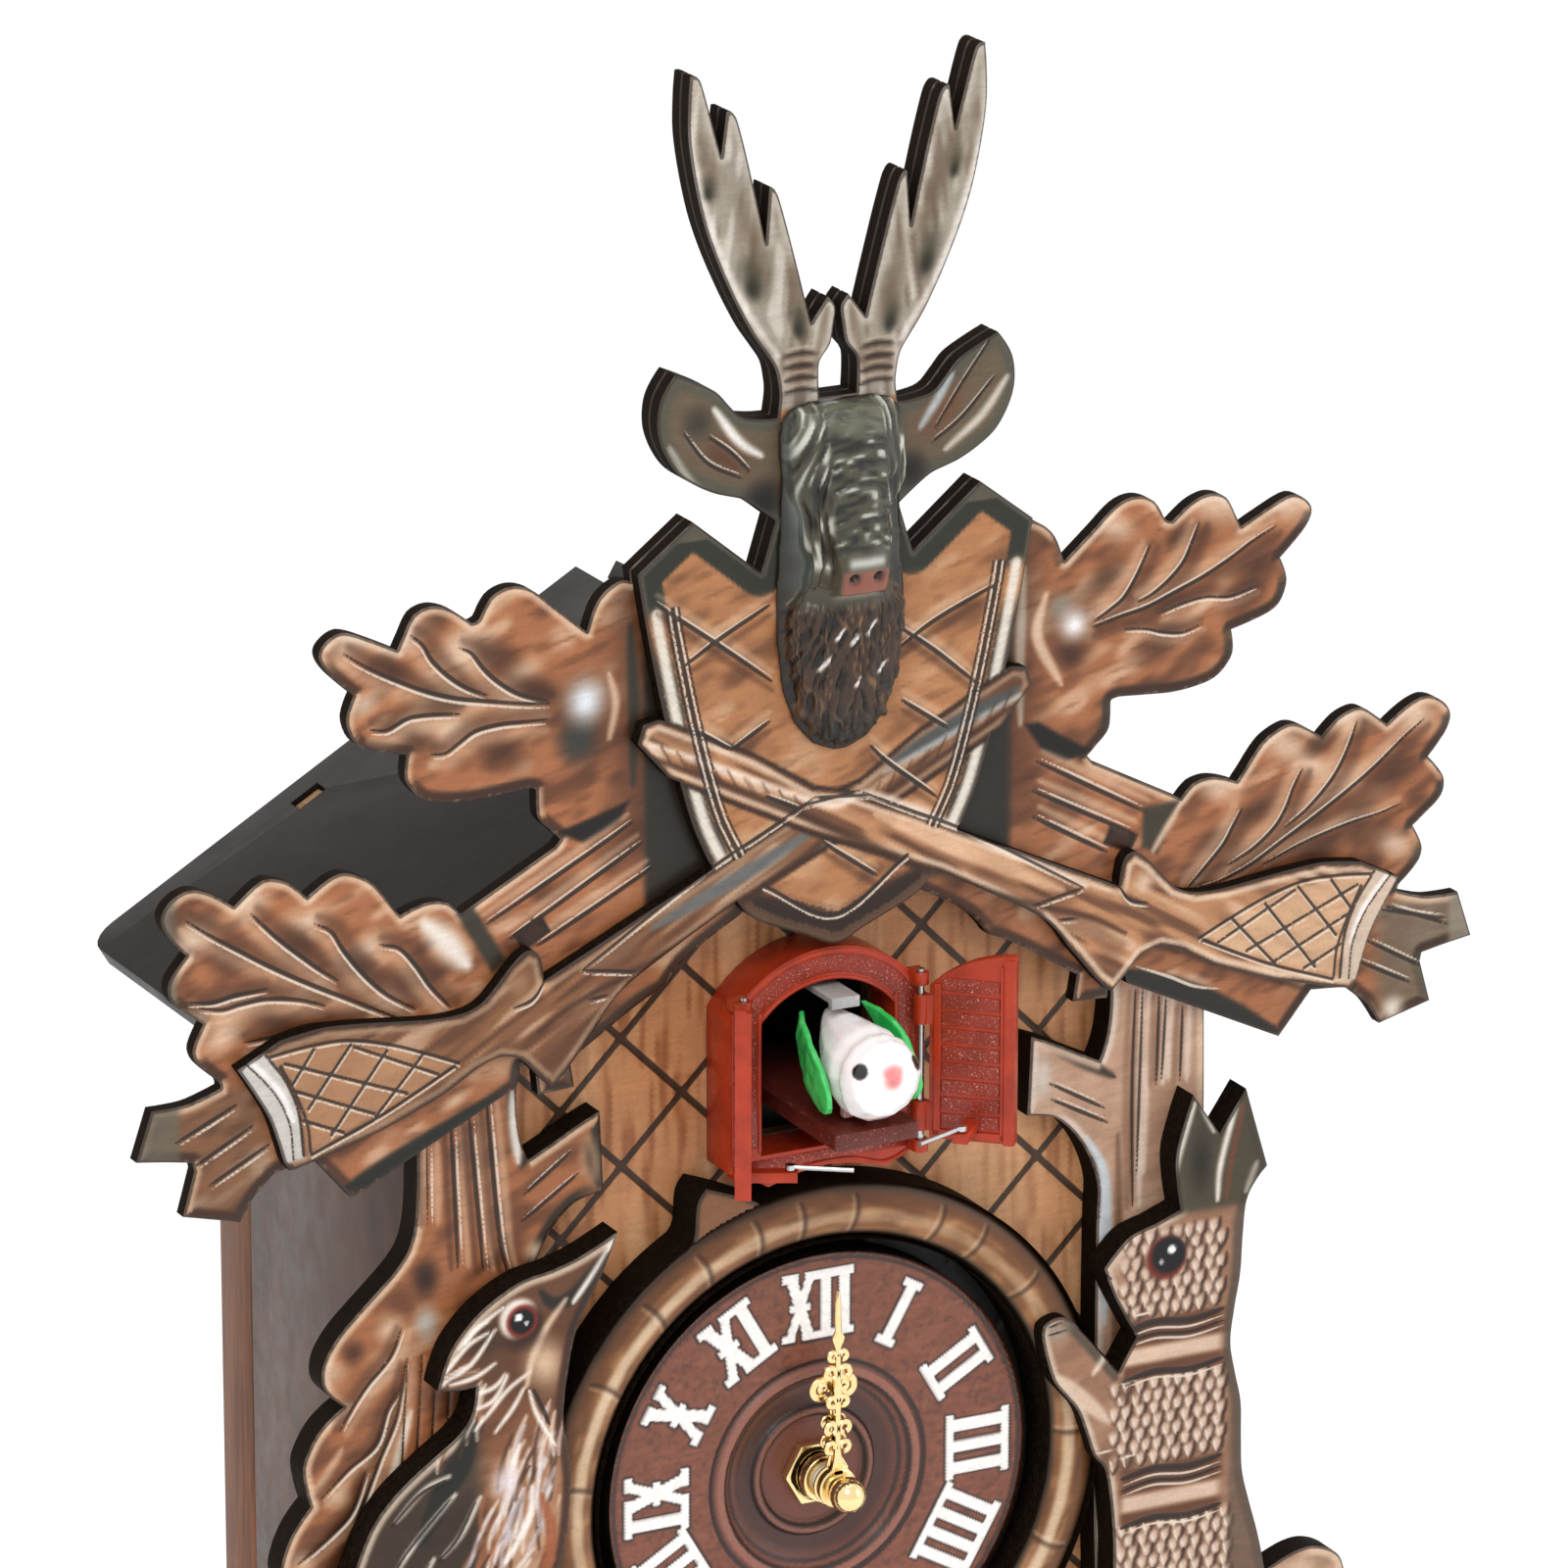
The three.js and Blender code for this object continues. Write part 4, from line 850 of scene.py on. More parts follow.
    # knots with a strong airbrushed highlight
    p.blob(-52.5, 165, 7.4, DEEP, 0.75, 10.5)
    p.blob(-53.6, 160.5, 5, (70, 74, 72), 0.95, 5.5)
    p.blob(-52, 168.2, 5.6, (228, 232, 238), 1.0, 6)
    p.band(pts("-47,173 -45.6,167 -47,160"), 1.6, CREAM, 0.8)
    p.blob(53, 168, 7, DEEP, 0.5, 10.5)
    p.blob(53, 162.5, 3.6, BROWN, 0.9)
    p.blob(50.6, 173, 3.4, GREY, 0.8)
    p.blob(53.8, 168.8, 4.4, (234, 230, 230), 1.0)
    p.band(pts("47.5,176 45.6,167.5 51,157"), 2.4, CREAM, 0.85)
    # painted shadow: the board is darkened under and along both sides of the shield, which stands in front of it, with
    # an olive band beside it on the left and a pale band on the right
    p.over(0.9 * smooth(-40.5, -38.5, x) * left * smooth(120, 126, z), (52, 50, 44))
    p.band(pts("-42.5,182 -41.8,165 -42,150"), 2.2, OLIVE, 0.9)
    p.over(0.9 * smooth(41, 38.5, x) * ~left * smooth(120, 126, z), (52, 50, 44))
    p.band(pts("42.5,182 41.8,165 42,150"), 2.2, (205, 198, 186), 0.7)
    p.area(pts("-43,147 -45,143 -52.5,140 -58,143 -50,145"), BLACK, 0.9, 0.6)
    p.area(pts("43,150 47,144 52,141 58,142.5 52,146 46,150"), BLACK, 0.9, 0.6)
    # strips towards the shield
    for text in ("-73,126.7 -50,138.3 -42,142.5", "-68,123 -50,132.7 -40,138", "-62.3,120.7 -50,126.7 -38,132.6"):
        p.dark_line(pts(text), 1.0)
        p.pale_line(offset(curve(pts(text)), 0.85), 0.6)
        p.band(offset(curve(pts(text)), 2.2), 1.8, CREAM, 0.5)
    for text in ("45.7,142 69.7,128.3", "45,136 67,124.3", "45,130.7 61.7,121"):
        p.dark_line(pts(text), 1.0)
        p.pale_line(offset(curve(pts(text)), 0.85), 0.6)
        p.band(offset(curve(pts(text)), 2.4), 1.8, CREAM, 0.55)
    p.area(pts("-79.5,130 -76,131 -69,119 -72,117"), OLIVE, 0.9, 0.7)
    p.band(pts("-86,129 -82,125 -77.3,119.3"), 5.5, (236, 230, 222), 0.9, 2.2)
    p.area(pts("69.7,129 78.3,129.5 73,119 69.5,121"), OLIVE, 0.85, 0.7)
    p.band(pts("78.3,128.7 75,124 72,119.7"), 1.5, CREAM, 0.9)
    for cx, cz, t in ((-63.5, 123.6, 27), (64.6, 123.4, -27)):
        c, s = math.cos(math.radians(t)), math.sin(math.radians(t))
        sight = ((-3.4, -2.1), (3.4, -2.1), (3.4, 2.1), (-3.4, 2.1))
        box = np.array([[cx + u * c - v * s, cz + u * s + v * c] for u, v in sight])
        p.area(box, DEEP, 0.95, 0.3)
        p.area(box * 0.6 + np.array([cx, cz]) * 0.4, BROWN, 0.9, 0.3)
    p.band(pts("-104,78 -86,85 -70,92"), 4.2, (44, 46, 40), 0.95)
    p.blob(-80, 92.5, 4.5, CREAM, 0.8, 1.6, 25)
    p.band(pts("64,96 82,88 101,77"), 5.0, (50, 50, 44), 0.95)
    p.blob(82, 91.6, 5, CREAM, 0.7, 1.3, -25)
    p.pale_line(pts("68,96.5 76,93 82,90 88,88.5"), 0.7)
    twig_grooves(p, ("-138,93.3 -125.3,99", "-134.3,88 -122,94.3", "-131.3,83.7 -118.7,90"), -1)
    twig_grooves(p, ("125,99.3 139.7,95.3", "126,100 140.3,94", "121.7,93.3 134.3,86", "119.7,89.3 131.7,83"), 1)
    p.over(0.8 * smooth(-136, -138.5, x), (120, 114, 100))
    p.over(0.8 * smooth(139.5, 141.5, x), (160, 150, 134))
    p.blob(127.7, 78, 3.5, (232, 222, 210), 0.9)
    for s in (-1, 1):
        for t in range(7):
            a = (s * (60 + 8 * t), 106 - 3.4 * t)
            p.band([(a[0], a[1]), (a[0] + s * 10, a[1] - 5)], 1.0, BROWN, 0.5)


def paint_rifle(p, s):
    """One rifle of the crest; s is +1 for the one that lies on top, with its butt on the right."""
    top = s > 0

    def m(text):
        q = pts(text)
        return q if top else mirror(q)
    body = RIFLE if top else mirror(RIFLE)
    p.area(body, (196, 146, 104) if top else (150, 104, 66), 0.97, 0.5)
    f = area_field(p.P, body)
    p.lines.append((curve(np.vstack([body, body[:1]]), 0.8), 1.0))
    u = p.P[:, 0] * (0.86 if top else -0.86) - p.P[:, 1] * 0.5
    v = p.P[:, 1] * 0.86 + p.P[:, 0] * (0.5 if top else -0.5)
    n = hash_noise(np.stack([u * 0.12, v * 1.1], 1) + 50, 1.4, 21 if top else 22)
    n2 = hash_noise(np.stack([u * 0.3, v * 0.7], 1) + 80, 2.6, 23)
    p.over(0.7 * smooth(0.55, 0.85, n) * (f > 0), (104, 66, 40))
    p.over(0.5 * smooth(0.4, 0.1, n) * (f > 0), (238, 214, 192))
    p.over(0.5 * smooth(0.55, 0.85, n2) * (f > 0), (126, 82, 52))
    p.over(0.85 * smooth(1.0, 0.1, f) * smooth(-0.9, -0.2, f), DEEP)
    p.over(0.75 * smooth(0.6, 1.2, f) * smooth(2.3, 1.5, f), (228, 208, 188) if top else (176, 150, 126))
    up = m("-40,159 -20,149.5 -2,141.2 8,141.8 30,130.5 55,116")
    p.band(up, 1.5, (240, 222, 208) if top else CREAM, 0.85 if top else 0.5)
    low = m("-42,157.3 -10,141.3 10,130 30,119.6 44,113.8 56,109.6 64,105")
    p.band(low, 1.8, BROWN, 0.8)
    if top:
        p.band(m("8,138 30,126.5 50,116"), 3.2, (226, 186, 152), 0.75)
        p.band(m("12,133 30,123.5 48,114.5"), 1.2, BROWN, 0.35)
    else:
        p.band(m("4,137 20,130 40,122"), 3.2, (118, 124, 128), 0.85)
        p.band(m("-12,148 -28,154.5 -40,159"), 3.4, (92, 98, 98), 0.9)
        p.band(m("-10,146 -28,153 -40,157.5"), 1.0, (190, 196, 198), 0.7)
        p.band(m("42,121 54,115.5"), 3.5, (150, 112, 82), 0.7)
    lines = ["5,143 16,137.5 30,130.6 54.6,115.8", "54.6,115.8 43.3,113.8", "49.2,110 53.3,109.6",
             "-7.4,141.8 4.7,143.1",
             "62.5,115 65,111.7 69.2,110.4"]
    for text in lines:
        c = curve(m(text))
        p.dark_line(c, 0.75)
        p.pale_line(c - [0, 0.75], 0.45)
    for i in range(9):
        x0 = -38 + 3.6 * i
        p.band(m(f"{x0},{158.4 - 1.78 * i} {x0 + 2.2},{154.8 - 1.78 * i}"), 0.45, BROWN, 0.55, 0.3)
    p.blob(*(m("68,115")[0]), 3, CREAM if top else (170, 130, 96), 0.9)
    p.blob(*(m("63,114")[0]), 2.4, (214, 170, 132), 0.8)
    butt = m("82,101.5 90,104.5 100,108.2 112,109.6 121,109.4 116.5,103 114,96 112.6,88.6 100,92.8 88,97.8")
    p.area(butt, (214, 176, 140) if top else (186, 142, 104), 0.9, 0.8)
    for text in ("80.8,101.3 88.3,104.6 95.8,107.5 104.2,109.6 112.5,109.6 120,108.8",
                 "81.7,100.8 90,96.7 98.3,92.9 111.7,87.9",
                 "88.3,104.2 98.3,93.3", "95.8,106.2 107.5,91.2", "103.3,108.6 112.2,97.2", "110.8,109 115.4,102.5",
                 "85.2,99.8 102.5,108", "91.7,97 117.0,107", "98.6,94 115.4,101.4", "105,91.3 113.2,95"):
        c = curve(m(text))
        p.dark_line(c, 0.7, taper=False)
        p.pale_line(c - [0, 0.65], 0.4, taper=False)
    plate = m("120.8,109.6 116.7,103.3 114.2,96.7 113.3,87.6 119,86.6 120,92.5 122.5,98 127,104 127,110.4")
    p.area(plate, (206, 202, 196) if not top else (210, 190, 172), 0.95, 0.5)
    for text, w in (("117.8,106.6 114.6,100 112.5,94.2 111.9,88.6", 0.7),
                    ("120.8,109.2 116.7,103.3 114.2,96.7 113.3,88", 0.7),
                    ("125,108.3 119.4,101.7 116.2,95 115.4,87.5", 0.5)):
        p.dark_line(m(text), w, taper=False)
    p.band(m("124.5,109 118.4,101.9 115.4,95.2"), 0.9, (250, 248, 246), 0.8)


HALF_SHIELD = pts("0,112.8 13.7,118.4 19.5,122 26.3,131.2 31,141.5 36,159.5 "
                  "40,178.2 42.5,192.7 30.9,201.6 16.3,189.6 0,189.6")
SHIELD = np.vstack([HALF_SHIELD, mirror(HALF_SHIELD[1:-1])[::-1]])
RIFLE = pts("-42.6,159.2 -41.4,162.8 -38,163.4 -18,153.5 -5,145.2 2,143.4 62.6,114.9 63.5,119.8 66,121.5 69.6,118.9 "
            "75.2,112.9 80,111 87,110.9 97.5,112 108.7,112.8 117.8,111.6 126.6,107.2 120.4,96.8 117.2,87 115.4,85.4 "
            "98,90 84.4,95.2 77,99.4 72,101 67.7,99.8 64.4,96.3 61.2,93.2 57.8,96.3 51.1,104.5 44.5,111.6 22.7,123.9 "
            "-5,135.8 -36,151.6")


def paint_crest(p):
    P, x, z = p.P, p.P[:, 0], p.P[:, 1]
    a = np.abs(x)
    # shield rim: bands that follow the outline
    band = SHIELD
    f = area_field(P, band, 12)
    on = f > -3
    side = smooth(180, 172, z) * on
    p.over(0.97 * smooth(4.9, 4.3, p.edge) * smooth(182, 187, z) * (z < 204) * (a < 43), (58, 60, 50))
    p.over(0.6 * smooth(1.2, 0.5, p.edge) * smooth(182, 187, z) * (z < 204) * (a < 43), (128, 128, 112))
    p.over(0.9 * smooth(4.4, 3.4, f) * side, (70, 62, 50))
    p.over(0.9 * smooth(6.6, 4.2, f) * smooth(128, 123, z) * (a < 26), DEEP)
    p.over(0.6 * smooth(1.6, 0.8, f) * smooth(128, 123, z) * (a < 26), (150, 116, 84))
    for s in (-1, 1):
        edge = pts("26.3,131.2 31,141.5 36,159.5 40,178.2 41,184") * [s, 1]
        p.band(offset(edge, s * 2.3), 2.2, (232, 224, 212), 0.92, 0.5, taper=False)
        p.lines.append((curve(offset(edge, s * 2.3)), 1.6))
        for shift, width in ((4.6, 0.6), (5.9, 1.0), (7.2, 0.5)):
            p.dark_line(offset(edge, s * shift), width, taper=False)
        for shift, width in ((5.2, 0.5), (6.6, 0.5)):
            p.pale_line(offset(edge, s * shift), width, taper=False)
    p.dark_line(pts("-16,127 -0.3,118.8 15.5,128.5"), 0.8, taper=False)
    p.pale_line(pts("-16,126.2 -0.3,118 15.5,127.7"), 0.4, taper=False)
    for text in ("-38.7,186.4 -25.3,176.4 -14,167.7", "-33.3,173 -25.3,177.7 -14.5,183", "-22.8,155.2 -14.5,159.8",
                 "-15.3,144.8 -7.8,141", "13.4,174.8 21.3,168.9 30,161.4", "13.4,170.6 21.3,175.2 34.7,180.6",
                 "7.2,151.8 11.3,147.7 21.8,139.3", "-2.8,133.5 8.8,125.2", "-30,160 -22.8,155.2", "14,160 24,153"):
        c = curve(pts(text))
        p.dark_line(c, 1.0)
        p.pale_line(c + [0, 0.8], 0.5)
        p.band(c + [0, 2.0], 1.8, CREAM, 0.4)
        p.band(c - [0, 1.8], 1.8, BROWN, 0.4)
    p.blob(0, 184, 12, DEEP, 0.75, 6)
    paint_rifle(p, -1)
    paint_rifle(p, 1)
    burr = (z > 221.5) & (a < 13)
    antler = ((z > 226) & ~((a > 20.5) & (z < 241 - 0.1 * a) & (z < 234))) | burr
    ear = (z > 198) & (a > 12.5) & (z < 236) & ~antler
    p.over(0.97 * antler, (170, 162, 148))
    n1 = hash_noise(np.stack([x * 1.8 + z * 0.25 * np.sign(x), z * 0.35 - a * 0.5], 1), 2.4, 5)
    p.over(0.5 * antler * smooth(0.6, 0.9, n1), (112, 88, 70))
    p.over(0.6 * antler * smooth(0.42, 0.15, n1), (224, 216, 206))
    p.over(0.45 * antler * smooth(2.2, 0.8, p.edge), (216, 208, 196))
    for cx, cz, r, rz, t in ((-27.7, 266.6, 2.2, 4.6, 12), (-18.1, 248.4, 3.0, 8, 18), (-8.4, 238.7, 2.2, 6.5, 14),
                             (24.8, 265.6, 1.8, 5, -12), (19, 249, 2.8, 8, -18), (11.2, 237.7, 2.4, 6.5, -14)):
        p.blob(cx, cz + rz * 0.8, r * 1.2, (124, 104, 84), 0.75, rz * 1.5, t)
        p.blob(cx, cz - rz * 0.1, r * 1.0, (84, 78, 58), 0.9, rz * 0.75, t)
        p.blob(cx - 0.3, cz - rz * 0.35, r * 0.6, (46, 44, 32), 0.85, rz * 0.35, t)
    for s in (-1, 1):
        for q in ("33,282 30.5,270 27,258 21,244 13,232", "36,281 31.5,262"):
            p.band(pts(q) * [s, 1], 1.4, (240, 234, 226), 0.6, 0.8)
            p.band(pts(q) * [s, 1] + [1.9 * s, 0], 1.0, (112, 86, 70), 0.4, 0.8)
        p.blob(8 * s, 229, 4.4, (108, 78, 56), 0.9, 4.2)
        for dz in (0, 2.4, 4.8, 7.2):
            p.band([(4.4 * s, 224.2 + dz), (8 * s, 224.8 + dz), (11.6 * s, 224.4 + dz)], 0.8, (48, 34, 26), 0.8, 0.4)
            p.band([(4.4 * s, 225.3 + dz), (8 * s, 225.9 + dz), (11.6 * s, 225.5 + dz)], 0.6, (196, 178, 160),
                   0.7, 0.4)
        p.band(pts("2.6,240 4.2,233 5.2,228") * [s, 1], 1.6, (150, 132, 112), 0.8)
    p.over(0.96 * ear, (120, 104, 84))
    p.over(0.8 * ear * smooth(3.2, 1.2, p.edge), (98, 98, 84))
    p.blob(-24, 214, 7, (112, 74, 44), 0.95, 4.5, -35)
    p.blob(-30, 221, 4, (70, 66, 54), 0.8)
    p.blob(-16, 204, 5, BLACK, 0.85)
    p.blob(22, 217, 8, (128, 88, 56), 0.95, 4.5, 45)
    p.blob(15.5, 206, 4.5, BLACK, 0.8)
    p.band(pts("-26.6,223.4 -21.3,216.3 -16.3,212.7"), 1.9, (236, 232, 226), 0.95)
    p.band(pts("-36,217 -31,209 -24,203"), 1.6, (206, 202, 190), 0.7)
    p.band(pts("24.5,224 21.5,219.5 17.5,214"), 1.8, (188, 196, 200), 0.9)
    p.band(pts("36.5,222 31,215 23,209"), 1.7, (220, 214, 204), 0.85)
    for text in ("-32.7,219 -27.7,212.7 -20.6,208.8", "-27.4,217.7 -22.7,214.1 -18.8,209.9",
                 "33,229.9 25.9,220.6 20.9,213.4",
                 "33.7,222 26.6,214.9 20.1,210.6"):
        p.dark_line(pts(text), 0.8)
        p.pale_line(pts(text) + [0, 0.8], 0.4)
    p.over(0.8 * ((z < 103) & (a > 126)), GREY)


def paint_trunk_left(p):
    p.rim_lit((-1, 0.3), 1.6, CREAM, 0.8)
    p.rim_lit((1, -0.3), 2.2, (60, 52, 42), 0.85)
    for text in ("-79.2,87.5 -77.9,56.7", "-75.4,88 -72.5,55", "-71.7,90.8 -69.2,62.5 -67.5,54.2",
                 "-84.2,83 -84.2,66.7"):
        c = curve(pts(text))
        p.dark_line(c, 1.0 if "84.2" not in text else 0.5)
        p.pale_line(c + [0.85, 0], 0.55)
        p.band(c + [2.0, 0], 1.8, CREAM, 0.5)
        p.band(c - [1.6, 0], 1.6, BROWN, 0.5)
    p.band(pts("-66.3,91 -65,76"), 2.6, (236, 226, 216), 0.9)
    for text in ("-63.8,69.2 -53.8,76.3", "-64.2,63.8 -52.1,71.7"):
        p.dark_line(pts(text), 0.9)
        p.pale_line(pts(text) + [0, 0.8], 0.5)
    p.blob(-49.6, 74.2, 2.6, (196, 168, 138), 0.95, 6.4, 10)
    p.blob(-49.8, 74.2, 1.5, (120, 92, 66), 0.9, 4.6, 10)
    p.blob(-61.7, 57.5, 3, CREAM, 0.9)
    p.blob(-85, 55.8, 3.6, DEEP, 0.9, 5)
    p.blob(-85, 46.7, 3.4, (190, 188, 182), 0.9, 4.6)
    p.blob(-92.5, 46.7, 4, CREAM, 0.8)
    p.blob(-105, 40, 4, CREAM, 0.7)
    p.blob(-100.4, 43.3, 3, BROWN, 0.8)
    p.band(pts("-88.3,29.2 -94,11"), 2.2, (238, 226, 212), 0.85)
    p.band(pts("-107,29 -102,33"), 2.2, CREAM, 0.7)
    p.band(pts("-111,12 -103,24"), 2.0, CREAM, 0.6)
    for text in ("-90,46.3 -92.5,40.8 -97.5,35.8 -101.3,30.8 -103.3,27.5",
                 "-90.8,33.3 -93.3,30 -95.8,23.3 -101.7,19.2 -107.5,14.2",
                 "-89.2,39.2 -91.3,28.3 -95,20 -99.2,10 -103.3,0.8 -106,-12",
                 "-97.9,18.3 -100.8,10.8 -105,6.7 -112.5,1.7",
                 "-102,3 -106,-4 -114,-12", "-104,-10 -107,-18 -115,-22", "-106,-22 -104,-34 -98,-46",
                 "-105,-26 -110,-34", "-101,-40 -106,-44"):
        p.vein(pts(text), 0.8, 1, halo=2.6)
    for cx, cz in ((-112, 2), (-113, -14), (-110, -32), (-100, -50), (-104, 14)):
        p.blob(cx, cz, 3.4, CREAM, 0.7)
        p.blob(cx + 6, cz - 3, 3.2, BROWN, 0.6)
    for i in range(9):
        x0 = -64 - 3.1 * i
        p.dark_line([(x0, 40), (x0 - 1.5, 10), (x0 + 1, -30), (x0, -68)], 0.7)


def paint_trunk_right(p):
    p.over(0.55, (206, 178, 158))
    p.rim_lit((-1, 0), 1.6, (226, 214, 204), 0.7)
    for text in ("70.8,89.8 70.3,70.7 70.8,44", "72.4,89.8 71.6,50.7", "76.2,88.2 75.8,69", "77.8,87.3 77,70",
                 "81.6,84.8 81.2,69"):
        c = curve(pts(text))
        p.dark_line(c, 0.8)
        p.band(c - [1.5, 0], 1.8, (150, 112, 84), 0.6)
        p.band(c + [1.4, 0], 1.4, (240, 226, 216), 0.6)
    for text in ("51.6,73.2 64.1,66", "52,69.8 64.9,62.8"):
        p.dark_line(pts(text), 0.9)
        p.pale_line(pts(text) + [0, 0.8], 0.5)
    p.band(pts("49,83 57.5,77.6 66.2,72.3"), 2.4, (60, 52, 44), 0.9)
    p.blob(49.8, 75, 2.6, (214, 206, 198), 0.85, 6)
    # painted reflection: a pale blue-grey sheen down the edge of the trunk
    p.band(pts("59.9,60.7 63.7,53.2 64.5,43.2 64.5,20"), 2.8, (196, 204, 210), 0.9)
    p.band(pts("57.6,61 61.6,53.5 62.7,43"), 1.6, DEEP, 0.9)
    p.band(pts("67,60 67.5,40 67,0 66,-40"), 2.2, (120, 84, 58), 0.7)
    p.rim_lit((0.8, 0.6), 1.8, CREAM, 0.8)
    for text in ("88,-72 96,-62 106,-56 116,-50", "90,-60 102,-66 112,-70", "98,-54 104,-46 112,-42",
                 "104,-58 112,-62 119,-64"):
        p.vein(pts(text), 0.9, 1)
    for cx, cz in ((112, -42), (118, -58), (110, -74), (96, -74), (98, -46)):
        p.blob(cx, cz, 3.6, CREAM, 0.7)


def paint_feathers(p, cx, cz, length, angle, color, width=0.8, k=0.7):
    a = math.radians(angle)
    q = [(cx, cz), (cx + length * 0.5 * math.cos(a) - 0.6, cz + length * 0.5 * math.sin(a)),
         (cx + length * math.cos(a), cz + length * math.sin(a))]
    p.band(q, width, color, k, 0.45)


def paint_bird_figure(p):
    x, z = p.P[:, 0], p.P[:, 1]
    head = smooth(27, 33, z)
    p.over(0.85 * head, (112, 74, 46))
    p.blob(-63, 37, 5.5, (226, 196, 166), 0.9, 7, 20)
    p.blob(-76, 44, 6, (74, 50, 32), 0.8, 4, 30)
    p.over(0.7 * smooth(30, 20, z) * smooth(-74, -80, x), (52, 46, 36))
    p.over(0.6 * smooth(22, 12, z) * smooth(-76, -70, x), (206, 170, 138))
    p.rim_lit((-0.7, 0.7), 1.6, (226, 210, 190), 0.75)
    p.rim_lit((0.8, -0.4), 2.0, BROWN, 0.9)
    p.band(pts("-78,28 -81,20 -85,14 -90,4"), 5.0, (40, 40, 30), 0.9)
    rng = np.random.default_rng(11)
    for i in range(230):
        t = rng.random()
        cx = -62 - 26 * t + rng.normal() * 3.2
        cz = 24 - 78 * t + rng.normal() * 7
        ang = -100 - 32 * t + rng.normal() * 7
        shade = [(240, 230, 222), (176, 116, 72), (92, 58, 36), (232, 216, 206), (204, 196, 206)][i % 5]
        paint_feathers(p, cx, cz, 7 + 5 * rng.random(), ang, shade, 0.8, 0.75)
    for i in range(46):
        t = rng.random()
        cx = -73 - 20 * t + rng.normal() * 3
        cz = 45 - 22 * rng.random()
        if cx < -86:
            continue
        shade = [(238, 226, 212), (130, 80, 46), (90, 58, 38)][i % 3]
        paint_feathers(p, cx, cz, 5, 200 + 50 * (cz < 36) + rng.normal() * 10, shade, 0.55, 0.7)
    for text in ("-84.5,16.5 -90,14.5 -96,9", "-83.3,12.5 -90,6 -95,0.5", "-78,11 -82,4 -86,0",
                 "-88,0 -94,-10 -100,-24",
                 "-92,4 -100,-8 -106,-28", "-84,-6 -92,-22 -104,-48", "-80,-14 -88,-32 -104,-58"):
        c = curve(pts(text))
        p.dark_line(c, 0.8)
        p.band(c + [0.9, 0.9], 1.1, (238, 230, 220), 0.85)
    p.band(pts("-66,12 -67,5 -72,-3"), 1.4, (244, 238, 232), 0.9)
    p.blob(-72, 14, 3.4, (222, 214, 222), 0.8, 4.5)
    p.band(pts("-64,10 -62,0 -66,-12"), 2.6, (172, 96, 50), 0.8)
    p.over(0.5 * smooth(-20, -50, z), (70, 50, 34))
    for text in ("-85.5,36.5 -79,39.5 -73.5,46", "-84.5,38.5 -79.5,43.5 -75,45.5",
                 "-81.5,43 -78,46.5 -75,47.8", "-83.5,36 -78,36.8 -73.5,39",
                 "-66,36 -71,33 -75,29 -78.3,25.7", "-67.5,33 -70,29 -74,24.5", "-78,30 -74,31.5 -71,36",
                 "-79,33 -74,34 -71.5,36.5",
                 "-66.5,32 -65,27 -61,19.5", "-72,50 -77,47 -80,44"):
        p.band(pts(text), 1.0, (242, 234, 226), 0.95, 0.4)
    p.dark_line(pts("-65.5,32 -62,24"), 1.0)
    p.band(pts("-49,58 -56,50.5 -61,49 -64,52"), 3.0, (44, 40, 34), 0.85)
    p.band(pts("-47.6,60.7 -52,54.5 -57,48.5"), 1.3, (244, 238, 230), 0.95)
    p.band(pts("-58.5,49.5 -63,44 -66,38 -67,33"), 1.6, (228, 204, 180), 0.85)
    p.band(pts("-49,57.5 -54.6,47.5 -58,42"), 1.8, (70, 52, 38), 0.85)
    ex, ez = -67.9, 46.5
    p.blob(ex - 0.3, ez - 3.6, 5.0, DEEP, 0.8, 3)
    p.blob(ex - 0.8, ez + 0.7, 3.9, (236, 228, 218), 0.95, hard=0.85)
    p.blob(ex + 0.8, ez - 0.4, 3.6, (50, 34, 24), 0.9, hard=0.6)
    p.blob(ex, ez, 3.1, (150, 44, 26), 1.0, hard=0.9)
    p.blob(ex, ez, 2.3, (16, 12, 10), 1.0, hard=0.95)
    p.blob(ex - 0.8, ez + 0.9, 0.75, (252, 250, 248), 1.0, hard=0.8)
    p.blob(ex + 0.9, ez - 0.6, 0.4, (236, 232, 230), 0.9, hard=0.8)


def scales(p, x0, x1, ztop, rows, step=2.6):
    """Pointed tufts of fur in rows."""
    for r in range(rows):
        z = ztop - r * step
        n = int((x1 - x0) / 2.9)
        for i in range(n + 1):
            x = x0 + (i + 0.5 * (r % 2)) * 2.9 + 0.4 * math.sin(5 * i + 3 * r)
            if x > x1:
                continue
            h = 0.5 * math.sin(2.3 * i + 1.7 * r)
            p.blob(x, z, 1.5, (220, 196, 178), 0.9, 1.9, hard=0.3)
            p.band([(x + 1.6, z + 1.6), (x + 1.3, z - 0.6), (x + 0.2, z - 2.1 + h)], 0.9, (72, 46, 32), 0.9, 0.35)
            p.band([(x - 1.4, z + 0.6), (x - 0.9, z - 0.9), (x - 0.1, z - 2.0 + h)], 0.55, (128, 92, 68), 0.8, 0.3)
            p.pale_line([(x - 0.6, z + 1.1), (x + 0.1, z - 1.3 + h)], 0.55)


